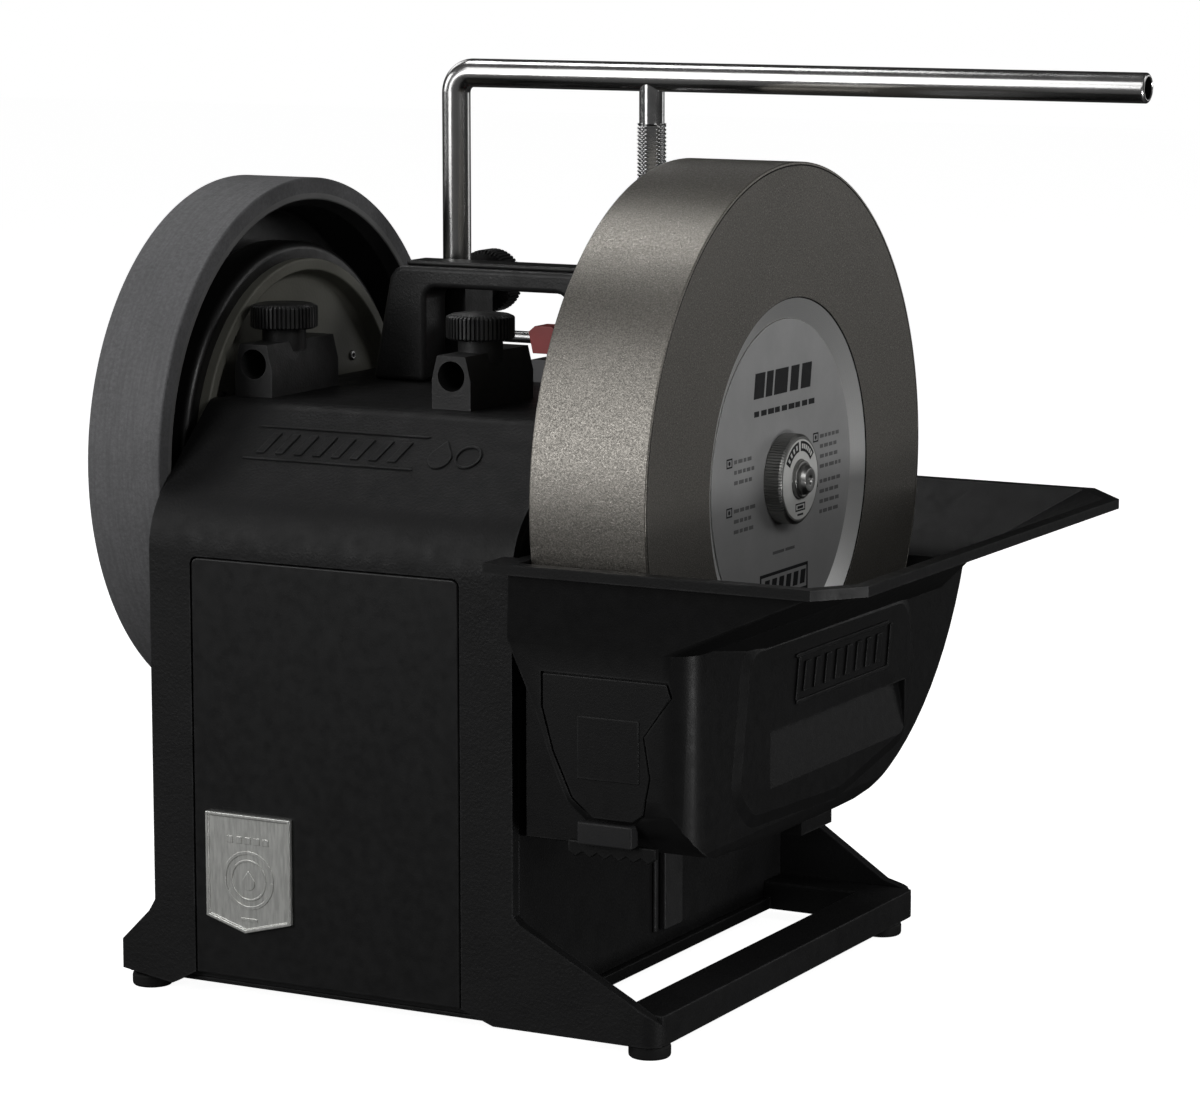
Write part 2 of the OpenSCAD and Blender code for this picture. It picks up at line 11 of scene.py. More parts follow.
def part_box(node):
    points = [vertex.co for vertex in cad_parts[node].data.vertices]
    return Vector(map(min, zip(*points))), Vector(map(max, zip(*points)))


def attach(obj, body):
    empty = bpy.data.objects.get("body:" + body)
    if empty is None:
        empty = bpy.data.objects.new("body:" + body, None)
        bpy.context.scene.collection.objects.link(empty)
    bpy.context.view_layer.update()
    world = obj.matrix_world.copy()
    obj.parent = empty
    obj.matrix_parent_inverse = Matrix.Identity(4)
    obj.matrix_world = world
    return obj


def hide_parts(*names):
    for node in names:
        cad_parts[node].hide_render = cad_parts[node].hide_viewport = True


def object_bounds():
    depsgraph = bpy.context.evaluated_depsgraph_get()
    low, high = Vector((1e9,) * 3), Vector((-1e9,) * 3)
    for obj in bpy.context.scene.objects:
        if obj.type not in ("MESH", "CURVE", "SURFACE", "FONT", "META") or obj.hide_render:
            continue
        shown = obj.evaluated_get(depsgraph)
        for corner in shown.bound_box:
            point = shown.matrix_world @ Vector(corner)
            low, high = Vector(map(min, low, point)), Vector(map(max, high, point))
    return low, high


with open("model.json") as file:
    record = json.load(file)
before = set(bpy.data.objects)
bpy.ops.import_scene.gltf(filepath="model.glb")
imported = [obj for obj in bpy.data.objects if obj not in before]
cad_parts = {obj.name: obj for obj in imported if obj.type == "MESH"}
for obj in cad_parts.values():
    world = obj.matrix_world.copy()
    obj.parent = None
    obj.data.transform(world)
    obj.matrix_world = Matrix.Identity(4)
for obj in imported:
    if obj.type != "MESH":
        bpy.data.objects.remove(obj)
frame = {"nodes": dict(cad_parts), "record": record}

CAD_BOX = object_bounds()
MM = 0.001
BORE = 6 * MM
LOOSE_BORE = 6.06 * MM
SHARP_BEND = radians(30)
RECORD = frame["record"]
SLOT = {part["node"]: part["material_slot"] for part in RECORD["subparts"]}
BODY = {node: body for body, nodes in RECORD["behaviour"]["bodies"].items() for node in nodes}
X, Y, Z = Vector((1, 0, 0)), Vector((0, 1, 0)), Vector((0, 0, 1))
rng = random.Random(7)


# ---------------------------------------------------------------- camera and light

def add_camera():
    """Looks down on the machine from the front right; turn and tilt in radians, place in metres."""
    turn, tilt = 0.490658, 0.157219
    place = Vector((0.77119, -1.48373, 0.43625))
    right = Vector((cos(turn), sin(turn), 0))
    ahead = Vector((-sin(turn) * cos(tilt), cos(turn) * cos(tilt), -sin(tilt)))
    up = right.cross(ahead)
    data = bpy.data.cameras.new("camera")
    data.sensor_width = 36
    data.lens = 124.81
    data.clip_end = 50
    camera = bpy.data.objects.new("camera", data)
    camera.matrix_world = Matrix((
        (right.x, up.x, -ahead.x, place.x),
        (right.y, up.y, -ahead.y, place.y),
        (right.z, up.z, -ahead.z, place.z),
        (0, 0, 0, 1)))
    bpy.context.scene.collection.objects.link(camera)
    bpy.context.scene.camera = camera


# name, turn from straight in front to the right and rise in degrees, watts, size and distance in metres
LAMPS = (
    ("front_low_softbox", -28, 12, 7.2, 0.7, 2.0),
    ("front_high_softbox", -28, 35, 4.0, 0.7, 2.0),
    ("upper_left_softbox", -102, 62, 4.4, 0.45, 2.0),
    ("left_softbox", -75, 15, 4.2, 0.7, 2.0),
    ("rear_left_softbox", -120, 30, 2.6, 0.7, 2.0),
    ("side_softbox", 62, 30, 1.1, 0.3, 0.95),
    ("bounce_softbox", 80, -8, 1.5, 0.1, 0.9),
    ("low_rear_softbox", 150, 7, 1.5, 0.7, 2.0),
    ("rear_right_softbox", 124, 27, 2.4, 0.7, 2.0),
)
AIM = Vector((0, 0, 0.18))
ROOM_FRONT, ROOM_BACK = 0.09, 0.012


def add_softbox(name, turn, rise, watts, size, reach):
    """A square soft lamp aimed at the middle of the machine."""
    turn, rise = radians(turn), radians(rise)
    away = Vector((sin(turn) * cos(rise), -cos(turn) * cos(rise), sin(rise)))
    data = bpy.data.lights.new(name, "AREA")
    data.shape = "SQUARE"
    data.size = size
    data.energy = watts
    lamp = bpy.data.objects.new(name, data)
    lamp.location = AIM + away * reach
    lamp.rotation_euler = (-away).to_track_quat("-Z", "Y").to_euler()
    bpy.context.scene.collection.objects.link(lamp)


def add_light():
    """Soft lamps in a dim room, darker behind than in front, that is white to the camera only."""
    for lamp in LAMPS:
        add_softbox(*lamp)
    world = bpy.data.worlds.new("studio")
    world.use_nodes = True
    nodes, links = world.node_tree.nodes, world.node_tree.links
    room = nodes["Background"]
    room.inputs["Color"].default_value = (1, 1, 1, 1)
    split = nodes.new("ShaderNodeSeparateXYZ")
    fade = nodes.new("ShaderNodeMapRange")
    fade.inputs["From Min"].default_value = -1
    fade.inputs["From Max"].default_value = 1
    fade.inputs["To Min"].default_value = ROOM_FRONT
    fade.inputs["To Max"].default_value = ROOM_BACK
    links.new(nodes.new("ShaderNodeTexCoord").outputs["Generated"], split.inputs["Vector"])
    links.new(split.outputs["Y"], fade.inputs["Value"])
    links.new(fade.outputs["Result"], room.inputs["Strength"])
    backdrop = nodes.new("ShaderNodeBackground")
    backdrop.inputs["Color"].default_value = (1, 1, 1, 1)
    path = nodes.new("ShaderNodeLightPath")
    either = nodes.new("ShaderNodeMixShader")
    links.new(path.outputs["Is Camera Ray"], either.inputs["Fac"])
    links.new(room.outputs["Background"], either.inputs[1])
    links.new(backdrop.outputs["Background"], either.inputs[2])
    links.new(either.outputs["Shader"], nodes["World Output"].inputs["Surface"])
    bpy.context.scene.world = world
    bpy.context.scene.view_settings.view_transform = "Standard"


# ---------------------------------------------------------------- materials

def scaled(colour, k):
    return tuple(min(1.0, c * k) for c in colour[:3]) + (1.0,)


class Look:
    """A material under construction, with every texture in object coordinates, in metres."""

    def __init__(self, name, colour, rough, metallic=0.0, specular=0.5):
        self.material = bpy.data.materials.new(name)
        self.material.use_nodes = True
        tree = self.material.node_tree
        self.nodes, self.links = tree.nodes, tree.links
        self.bsdf = self.nodes["Principled BSDF"]
        self.bsdf.inputs["Metallic"].default_value = metallic
        self.bsdf.inputs["Specular IOR Level"].default_value = specular
        self.bsdf.inputs["Base Color"].default_value = scaled(colour, 1)
        self.bsdf.inputs["Roughness"].default_value = rough
        self.material.diffuse_color = scaled(colour, 1)
        self.colour = None
        self.normal = None
        self.base = colour
        self.rough = rough
        self.coords = self.nodes.new("ShaderNodeTexCoord").outputs["Object"]

    def noise(self, scale, detail=3.0, stretch=None, contrast=0.5):
        texture = self.nodes.new("ShaderNodeTexNoise")
        texture.inputs["Scale"].default_value = scale
        texture.inputs["Detail"].default_value = detail
        texture.inputs["Roughness"].default_value = contrast
        source = self.coords
        if stretch:
            mapping = self.nodes.new("ShaderNodeMapping")
            mapping.inputs["Scale"].default_value = stretch
            self.links.new(source, mapping.inputs["Vector"])
            source = mapping.outputs["Vector"]
        self.links.new(source, texture.inputs["Vector"])
        return texture.outputs["Fac"]

    def rings(self, centre, scale):
        """Fine turning marks round an axis along X."""
        shift = self.nodes.new("ShaderNodeVectorMath")
        shift.operation = "SUBTRACT"
        shift.inputs[1].default_value = centre
        self.links.new(self.coords, shift.inputs[0])
        flat = self.nodes.new("ShaderNodeVectorMath")
        flat.operation = "MULTIPLY"
        flat.inputs[1].default_value = (0, 1, 1)
        self.links.new(shift.outputs[0], flat.inputs[0])
        reach = self.nodes.new("ShaderNodeVectorMath")
        reach.operation = "LENGTH"
        self.links.new(flat.outputs[0], reach.inputs[0])
        texture = self.nodes.new("ShaderNodeTexNoise")
        texture.noise_dimensions = "1D"
        texture.inputs["Scale"].default_value = scale
        texture.inputs["Detail"].default_value = 2
        self.links.new(reach.outputs["Value"], texture.inputs["W"])
        return texture.outputs["Fac"]

    def spread(self, fac, low, high, bottom, top):
        """Runs from bottom to top as fac goes from low to high."""
        remap = self.nodes.new("ShaderNodeMapRange")
        remap.inputs["From Min"].default_value = low
        remap.inputs["From Max"].default_value = high
        remap.inputs["To Min"].default_value = bottom
        remap.inputs["To Max"].default_value = top
        self.links.new(fac, remap.inputs["Value"])
        return remap.outputs["Result"]

    def tint(self, fac, dark, light, low=0.35, high=0.65):
        """Colour that runs between two shades of the base as fac goes from low to high."""
        ramp = self.nodes.new("ShaderNodeValToRGB")
        ramp.color_ramp.elements[0].position = low
        ramp.color_ramp.elements[1].position = high
        ramp.color_ramp.elements[0].color = scaled(self.base, dark)
        ramp.color_ramp.elements[1].color = scaled(self.base, light)
        self.links.new(fac, ramp.inputs["Fac"])
        self.colour = ramp.outputs["Color"]
        return self

    def over(self, fac, colour, amount):
        """Lays a colour over what is there, by fac."""
        mix = self.nodes.new("ShaderNodeMix")
        mix.data_type = "RGBA"
        mix.inputs["B"].default_value = scaled(colour, 1)
        if self.colour is None:
            mix.inputs["A"].default_value = scaled(self.base, 1)
        else:
            self.links.new(self.colour, mix.inputs["A"])
        self.links.new(self.spread(fac, 0, 1, 0, amount), mix.inputs["Factor"])
        self.colour = mix.outputs["Result"]
        return self

    def edge_sheen(self, colour, amount):
        """Painted edge highlight: a colour laid, in patches, where the surface bends."""
        geometry = self.nodes.new("ShaderNodeNewGeometry")
        rounded = self.nodes.new("ShaderNodeBevel")
        rounded.samples = 4
        rounded.inputs["Radius"].default_value = 1.2 * MM
        along = self.nodes.new("ShaderNodeVectorMath")
        along.operation = "DOT_PRODUCT"
        self.links.new(geometry.outputs["Normal"], along.inputs[0])
        self.links.new(rounded.outputs["Normal"], along.inputs[1])
        flat, bent = 0.995, 0.93
        edge = self.spread(along.outputs["Value"], flat, bent, 0, 1)
        patch = self.spread(self.noise(90, 4), 0.4, 0.62, 0.15, 1)
        both = self.nodes.new("ShaderNodeMath")
        both.operation = "MULTIPLY"
        self.links.new(edge, both.inputs[0])
        self.links.new(patch, both.inputs[1])
        return self.over(both.outputs[0], colour, amount)

    def gloss(self, fac, spread):
        """Roughness that varies by spread to either side."""
        rough = self.spread(fac, 0.3, 0.7, self.rough - spread, self.rough + spread)
        self.links.new(rough, self.bsdf.inputs["Roughness"])
        return self

    def bump(self, fac, depth, strength):
        bump = self.nodes.new("ShaderNodeBump")
        bump.inputs["Strength"].default_value = strength
        bump.inputs["Distance"].default_value = depth
        self.links.new(fac, bump.inputs["Height"])
        if self.normal is not None:
            self.links.new(self.normal, bump.inputs["Normal"])
        self.normal = bump.outputs["Normal"]
        return self

    def done(self):
        if self.colour is not None:
            self.links.new(self.colour, self.bsdf.inputs["Base Color"])
        if self.normal is not None:
            self.links.new(self.normal, self.bsdf.inputs["Normal"])
        return self.material


# lighter grey laid on the coat's bent edges as a painted edge highlight
EDGE_SHEEN_GREY = (0.075, 0.075, 0.078)


def coat(name, colour, rough, specular=0.32, grit=900, depth=0.00022):
    """Fine-textured coat on metal."""
    look = Look(name, colour, rough, specular=specular)
    look.tint(look.noise(38, 5), 0.88, 1.13)
    # painted highlight on the bent edges
    look.edge_sheen(EDGE_SHEEN_GREY, 0.5)
    look.gloss(look.noise(140, 4), 0.07)
    look.bump(look.noise(grit, 3), depth, 0.8)
    look.bump(look.noise(grit * 0.3, 3), depth, 0.3)
    return look.done()


def plastic(name, colour, rough, specular=0.4, grit=1800, depth=0.00006, edge_sheen=0.3, pale=(0.1, 0.1, 0.1)):
    """Moulded plastic or rubber; pale is the colour of its painted edge highlights."""
    look = Look(name, colour, rough, specular=specular)
    look.tint(look.noise(55, 4), 0.94, 1.06)
    # pale laid on the bent edges as a painted edge highlight
    look.edge_sheen(pale, edge_sheen)
    look.gloss(look.noise(220, 3), 0.05)
    look.bump(look.noise(grit, 2), depth, 0.7)
    return look.done()


def metal(name, colour, rough):
    """Bare metal with a fine grain."""
    look = Look(name, colour, rough, metallic=1.0)
    look.tint(look.noise(120, 4), 0.9, 1.08)
    look.gloss(look.noise(780, 3), 0.05)
    look.bump(look.noise(2600, 2), 0.00002, 0.5)
    return look.done()


def grit_look(name, colour, rough, metallic):
    """Bonded grit: fine bright and dark grains and broad paler patches on a warm grey."""
    look = Look(name, colour, rough, metallic=metallic)
    look.tint(look.noise(1500, 2, contrast=0.8), 0.62, 1.4, 0.38, 0.62)
    patches = look.spread(look.noise(22, 3, (0.35, 1, 1)), 0.35, 0.7, 0, 1)
    look.over(patches, scaled(colour, 1.18)[:3], 0.5)
    look.over(look.spread(look.noise(2600, 1), 0.68, 0.74, 0, 1), (0.75, 0.72, 0.66), 0.55)
    look.gloss(look.noise(1100, 2), 0.09)
    look.bump(look.noise(1900, 2, contrast=0.7), 0.00012, 0.75)
    return look.done()


def leather_look(name, colour):
    """Leather with a fine grain and faint stripes round the tread."""
    look = Look(name, colour, 0.62, specular=0.35)
    look.tint(look.noise(700, 4, contrast=0.7), 0.82, 1.2)
    patches = look.spread(look.noise(26, 3), 0.4, 0.7, 0, 1)
    look.over(patches, scaled(colour, 1.25)[:3], 0.4)
    stripes = look.spread(look.noise(160, 3, (5, 0.25, 0.25)), 0.42, 0.66, 0, 1)
    look.over(stripes, scaled(colour, 0.72)[:3], 0.45)
    look.gloss(look.noise(300, 3), 0.08)
    look.bump(look.noise(1300, 4, contrast=0.7), 0.00016, 0.8)
    return look.done()


def turned_look(name, colour, rough, metallic=1.0):
    """Metal with turning marks round the shaft."""
    look = Look(name, colour, rough, metallic)
    marks = look.rings(SHAFT, 9000)
    look.tint(marks, 0.88, 1.1)
    look.gloss(marks, 0.08)
    look.bump(marks, 0.00001, 0.4)
    return look.done()


def make_looks():
    """The look of each material slot, and a few more for parts of a piece."""
    return {
        "cabinet_coat": coat("cabinet_coat_look", (0.0125, 0.0125, 0.0128), 0.52, 0.24),
        "casting_coat": coat("casting_coat_look", (0.025, 0.025, 0.0253), 0.44, 0.4, 1100, 0.00016),
        "panel_plastic": plastic("panel_look", (0.0105, 0.0105, 0.0108), 0.36, 0.36, depth=0.00004),
        "trough_plastic": plastic("trough_look", (0.0085, 0.0085, 0.0087), 0.45, 0.24, 1400, 0.00007),
        "knob_plastic": plastic("knob_look", (0.018, 0.018, 0.0183), 0.36, 0.45, edge_sheen=0.4),
        "foot_rubber": plastic("foot_look", (0.008, 0.008, 0.008), 0.7, 0.3, 900, 0.00012, edge_sheen=0.2),
        "badge_silver": badge_look(),
        "chrome_bar": chrome_look(),
        "thread_steel": metal("thread_look", (0.62, 0.62, 0.62), 0.16),
        "shaft_steel": metal("shaft_look", (0.4, 0.4, 0.39), 0.34),
        "screw_steel": metal("screw_look", (0.42, 0.42, 0.42), 0.3),
        "bush_nylon": plastic("bush_look", (0.7, 0.68, 0.62), 0.5, pale=(0.8, 0.8, 0.76)),
        "wheel_grit": grit_look("grit_look", (0.235, 0.222, 0.2), 0.37, 0.78),
        "grit_side": grit_look("grit_side_look", (0.175, 0.166, 0.15), 0.46, 0.75),
        "cone_polish": turned_look("cone_look", (0.86, 0.86, 0.85), 0.36, metallic=0.7),
        "label_disc": label_look(),
        "flange_steel": turned_look("flange_look", (0.42, 0.42, 0.42), 0.34),
        "lock_nut_zinc": turned_look("nut_look", (0.29, 0.29, 0.28), 0.38),
        "nut_face": plastic("nut_face_look", (0.66, 0.66, 0.64), 0.42, 0.3, pale=(0.6, 0.6, 0.58)),
        "print_dark": plastic("print_dark_look", (0.016, 0.016, 0.017), 0.55, 0.2, edge_sheen=0),
        "print_grey": plastic("print_grey_look", (0.12, 0.12, 0.12), 0.5, edge_sheen=0),
        "hone_core": plastic("hone_core_look", (0.036, 0.036, 0.037), 0.4, 0.42, depth=0.00008, edge_sheen=0.5),
        "hone_leather": leather_look("hone_leather_look", (0.19, 0.19, 0.196)),
        "drive_plastic": plastic("drive_look", (0.225, 0.222, 0.19), 0.48, grit=700, depth=0.00012,
                                 pale=(0.5, 0.5, 0.43)),
        "drive_rubber": plastic("tyre_look", (0.012, 0.012, 0.012), 0.34, 0.6, 500, 0.0001, edge_sheen=0.1),
        # light grey for the honing wheel's inner lip: a painted highlight on its bevel
        "hone_lip": plastic("lip_highlight_look", (0.2, 0.2, 0.2), 0.4, pale=(0.3, 0.3, 0.3)),
        "motor_iron": coat("motor_look", (0.12, 0.12, 0.125), 0.6),
        "motor_alloy": metal("alloy_look", (0.4, 0.4, 0.41), 0.45),
        "fan_plastic": plastic("fan_look", (0.02, 0.02, 0.02), 0.5),
        "capacitor_plastic": plastic("capacitor_look", (0.6, 0.6, 0.57), 0.45),
        "switch_grey": plastic("switch_look", (0.14, 0.14, 0.145), 0.45),
        "switch_red": plastic("red_look", (0.5, 0.075, 0.075), 0.34, 0.5, pale=(0.62, 0.2, 0.2)),
        # a lighter copy of the coat for the trough guide: painted light for the sheen its edges catch
        "guide_coat": coat("guide_lit_coat_look", (0.04, 0.04, 0.0405), 0.42, 0.4),
        "catch_grey": plastic("catch_look", (0.024, 0.024, 0.025), 0.5, 0.3),
        # near black for the insides of holes and seams: painted shade
        "bore_dark": plastic("hole_shade_look", (0.004, 0.004, 0.004), 0.6, 0.2),
    }


def badge_look():
    look = Look("badge_look", (0.85, 0.855, 0.82), 0.38, metallic=0.8)
    look.tint(look.noise(900, 3, (1, 1, 0.15)), 0.86, 1.1)
    # a slightly darker grey laid on the badge's bent edges as painted edge shade
    look.edge_sheen((0.75, 0.75, 0.72), 0.6)
    look.bump(look.noise(1500, 3, (1, 1, 0.2)), 0.00006, 0.7)
    return look.done()


def chrome_look():
    look = Look("chrome_look", (0.62, 0.615, 0.61), 0.22, metallic=1.0)
    look.tint(look.noise(30, 3), 0.94, 1.04)
    look.gloss(look.noise(70, 4), 0.03)
    look.bump(look.noise(3000, 2, (0.1, 1, 1)), 0.000002, 0.3)
    return look.done()


def label_look():
    look = Look("label_look", (0.4, 0.4, 0.4), 0.42, metallic=0.3)
    look.tint(look.noise(60, 3), 0.96, 1.04)
    look.gloss(look.noise(400, 2), 0.03)
    look.bump(look.noise(2200, 2), 0.00001, 0.4)
    return look.done()


# ---------------------------------------------------------------- mesh tools

def emit(name, bm, body, slot, look, replaces=(), sharp=32):
    """Turns a bmesh into a piece that rides a body; look is a material or a list of them."""
    bmesh.ops.remove_doubles(bm, verts=bm.verts, dist=1e-6)
    bmesh.ops.recalc_face_normals(bm, faces=bm.faces)
    for face in bm.faces:
        face.smooth = True
    for edge in bm.edges:
        edge.smooth = len(edge.link_faces) == 2 and edge.calc_face_angle(0.0) < radians(sharp)
    mesh = bpy.data.meshes.new(name)
    bm.to_mesh(mesh)
    bm.free()
    for material in look if isinstance(look, list) else [look]:
        mesh.materials.append(material)
    piece = bpy.data.objects.new(name, mesh)
    bpy.context.scene.collection.objects.link(piece)
    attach(piece, body)
    if replaces:
        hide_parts(*replaces)
    piece.modifiers.new("shading", "WEIGHTED_NORMAL").keep_sharp = True
    return piece


def soften(piece, width, segments=3, weighted=False):
    """Rounds a piece's edges: all that bend sharply, or each by its own weight."""
    piece.modifiers.clear()
    bevel = piece.modifiers.new("edges", "BEVEL")
    bevel.width = width
    bevel.segments = segments
    bevel.limit_method = "WEIGHT" if weighted else "ANGLE"
    bevel.angle_limit = SHARP_BEND
    bevel.use_clamp_overlap = True
    piece.modifiers.new("shading", "WEIGHTED_NORMAL").keep_sharp = True
    return piece


def refined(node, width, look=None, wide=None, segments=3):
    """A CAD node's own shape with its edges rounded, by a wide width where its test passes.

    wide is (width, test); the test gets an edge's outward direction and its middle."""
    bm = bmesh.new()
    bm.from_mesh(frame["nodes"][node].data)
    bmesh.ops.remove_doubles(bm, verts=bm.verts, dist=5e-6)
    bmesh.ops.dissolve_limit(bm, angle_limit=radians(0.4), verts=bm.verts, edges=bm.edges)
    top = width
    if wide:
        top = wide[0]
        weights = bm.edges.layers.float.new("bevel_weight_edge")
        bm.normal_update()
        for edge in bm.edges:
            if len(edge.link_faces) == 2 and edge.calc_face_angle(0.0) > SHARP_BEND:
                outward = edge.link_faces[0].normal + edge.link_faces[1].normal
                middle = (edge.verts[0].co + edge.verts[1].co) / 2
                edge[weights] = 1.0 if wide[1](outward, middle) else width / top
    piece = emit(f"{node}_shell", bm, BODY[node], SLOT[node], look or LOOKS[SLOT[node]], (node,), 180)
    return soften(piece, top, segments, bool(wide))


def crease(piece, reach):
    """Keeps the shading of flat faces apart at slight bends beyond reach in X."""
    bm = bmesh.new()
    bm.from_mesh(piece.data)
    for edge in bm.edges:
        if len(edge.link_faces) == 2 and edge.calc_face_angle(0.0) > radians(3):
            if all(vert.co.x > reach for vert in edge.verts):
                edge.smooth = False
    bm.to_mesh(piece.data)
    bm.free()


def shrink(piece, share):
    """Draws a plate's outline in, in X and Z, so that a gap shows round it."""
    places = [v.co for v in piece.data.vertices]
    for i in (0, 2):
        middle = (min(p[i] for p in places) + max(p[i] for p in places)) / 2
        for place in places:
            place[i] = middle + (place[i] - middle) * share


def eased(points, radius, steps=4):
    """An outline with its corners rounded; radius is one number or a list with one for each point."""
    count = len(points)
    out = []
    for i, point in enumerate(points):
        r = radius[i] if isinstance(radius, list) else radius
        p = Vector(point)
        if r <= 0:
            out.append(tuple(p))
            continue
        back, ahead = Vector(points[i - 1]) - p, Vector(points[(i + 1) % count]) - p
        angle = back.angle(ahead)
        if angle > radians(174):
            out.append(tuple(p))
            continue
        cut = min(r / tan(angle / 2), back.length * 0.48, ahead.length * 0.48)
        reach = cut * tan(angle / 2)
        back.normalize()
        ahead.normalize()
        centre = p + (back + ahead).normalized() * (reach / sin(angle / 2))
        first, last = p + back * cut - centre, p + ahead * cut - centre
        start = atan2(first.y, first.x)
        sweep = (atan2(last.y, last.x) - start + pi) % (2 * pi) - pi
        for k in range(steps + 1):
            turn = start + sweep * k / steps
            out.append((centre.x + reach * cos(turn), centre.y + reach * sin(turn)))
    return out


def turned(profile, centre, axis="X", steps=128, shape=None, closed=True, marks=None):
    """A turned piece: profile is (place along the axis, radius) points.

    shape(i, angle, radius) may change a point's radius, and marks(point, next point) picks a material."""
    bm = bmesh.new()
    rings = []
    for i, (along, radius) in enumerate(profile):
        ring = []
        for k in range(1 if radius < 1e-7 else steps):
            angle = 2 * pi * k / steps
            r = shape(i, angle, radius) if shape else radius
            a, b = r * cos(angle), r * sin(angle)
            place = {"X": (along, centre.y + a, centre.z + b),
                     "Y": (centre.x + b, along, centre.z + a),
                     "Z": (centre.x + a, centre.y + b, along)}[axis]
            ring.append(bm.verts.new(place))
        rings.append(ring)
    spans = range(len(rings)) if closed else range(len(rings) - 1)
    for i in spans:
        a, b = rings[i], rings[(i + 1) % len(rings)]
        for k in range(steps):
            after = (k + 1) % steps
            corners = [a[k % len(a)], a[after % len(a)], b[after % len(b)], b[k % len(b)]]
            corners = list(dict.fromkeys(corners))
            if len(corners) > 2:
                face = bm.faces.new(corners)
                if marks:
                    face.material_index = marks(profile[i], profile[(i + 1) % len(profile)])
    return bm


def relief(bm, outline, origin, u, v, height):
    """Adds a low prism: outline is (a, b) points in the plane of u and v, raised along u x v."""
    up = u.cross(v).normalized() * height
    low = [bm.verts.new(origin + u * a + v * b) for a, b in outline]
    high = [bm.verts.new(origin + u * a + v * b + up) for a, b in outline]
    count = len(outline)
    bm.faces.new(high)
    bm.faces.new(list(reversed(low)))
    for i in range(count):
        bm.faces.new((low[i], low[(i + 1) % count], high[(i + 1) % count], high[i]))


def bar(a0, a1, b0, b1, lean=0.0):
    """A straight or slanted bar's outline."""
    return [(a0, b0), (a1, b0), (a1 + lean, b1), (a0 + lean, b1)]


def sector(r0, r1, start, end, ca=0.0, steps=16):
    """Part of a ring, from start to end in degrees."""
    angles = [radians(start + (end - start) * k / steps) for k in range(steps + 1)]
    return ([(ca + r1 * cos(t), r1 * sin(t)) for t in angles]
            + [(ca + r0 * cos(t), r0 * sin(t)) for t in reversed(angles)])


def disc(radius, ca, cb, steps):
    turns = [2 * pi * k / steps for k in range(steps)]
    return [(ca + radius * cos(turn), cb + radius * sin(turn)) for turn in turns]


def droplet(radius, ca=0.0, cb=0.0):
    """A disc with a point above it."""
    return [(ca, cb + radius * 1.75)] + [
        (ca + radius * cos(radians(t)), cb + radius * sin(radians(t))) for t in range(150, 391, 16)]


def ribbed(count, depth, rows):
    """Straight ribs round a knob, on the given rows of its profile."""
    def shape(i, angle, radius):
        if i not in rows:
            return radius
        phase = (angle * count / (2 * pi)) % 1.0
        return radius - depth * (1.0 if phase > 0.56 else 0.0)
    return shape


def span(node):
    """A node's low corner, high corner and middle."""
    low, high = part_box(node)
    return low, high, (low + high) / 2


SHAFT = span("main_shaft")[2]
SHAFT.x = 0


# ---------------------------------------------------------------- castings and panels

def add_shells():
    """CAD shapes shown with softened edges."""
    def left_edge(outward, middle):
        return outward.x < -0.5 and abs(outward.y) > 0.3 and middle.x < span("top_casting")[0].x + 0.003
    for node in ("front_frame", "rear_frame"):
        refined(node, 0.9 * MM, wide=(3.4 * MM, left_edge), segments=4)
    for node in ("front_panel", "rear_panel", "handle_cap", "power_inlet", "switch_housing"):
        refined(node, 0.7 * MM)
    # the guide gets the lighter coat copy as painted light
    refined("trough_guide", 0.8 * MM, LOOKS["guide_coat"])
    shrink(refined("trough_scraper", 0.5 * MM), 0.975)
    for node in ("top_casting", "left_side_wall", "right_side_wall", "bottom_cover"):
        refined(node, 0.4 * MM)
    refined("base_frame", 1.4 * MM)
    refined("front_sleeves", 1.1 * MM)
    refined("rear_sleeves", 1.5 * MM)
    refined("carry_handle", 2.4 * MM, segments=4)
    refined("switch_lever", 1.6 * MM, segments=4)
    rim = span("water_trough")[1].z - 4.5 * MM

    def rim_edge(outward, middle):
        return middle.z > rim and outward.y < -0.3

    trough = refined("water_trough", 1.0 * MM, wide=(1.6 * MM, rim_edge), segments=4)
    crease(trough, span("trough_scraper")[1].x + 7.5 * MM)
    refined("trough_catch", 0.8 * MM)
    refined("rubber_feet", 1.3 * MM)
    refined("panel_badge", 0.35 * MM)


def touch(node, start, direction):
    """Where a straight line from start first meets a node, and the surface's outward direction there."""
    mesh = bpy.data.objects[f"{node}_shell"].data
    tree = BVHTree.FromPolygons([v.co for v in mesh.vertices], [p.vertices for p in mesh.polygons])
    point, normal, _, _ = tree.ray_cast(Vector(start), Vector(direction))
    return point, normal


def add_shoulder_relief():
    """Two raised lines with slanted ribs between them, a droplet and a ring, on the shoulder's slope."""
    low, high, mid = span("front_panel")
    point, normal = touch("front_frame", (mid.x, low.y + 30 * MM, 0.3), -Z)
    up = normal.cross(X).normalized()
    bm = bmesh.new()
    height = 0.6 * MM
    width = high.x - low.x
    relief(bm, bar(-0.42 * width, 0.22 * width, -8.6 * MM, -7.8 * MM), point, X, up, height)
    relief(bm, bar(-0.42 * width, 0.22 * width, 8.0 * MM, 8.8 * MM, 2 * MM), point, X, up, height)
    step = 0.64 * width / 9
    for k in range(8):
        left = -0.42 * width + (k + 0.55) * step
        relief(bm, bar(left, left + step * 0.42, -5.2 * MM, 5.2 * MM, 4 * MM), point, X, up, height)
    relief(bm, droplet(5.2 * MM, 0.3 * width, -1.6 * MM), point, X, up, height)
    relief(bm, sector(4.8 * MM, 5.8 * MM, 0, 359.9, 0.4 * width), point, X, up, height)
    piece = emit("shoulder_relief", bm, "cabinet", SLOT["front_frame"], LOOKS[SLOT["front_frame"]])
    soften(piece, 0.25 * MM, 2)


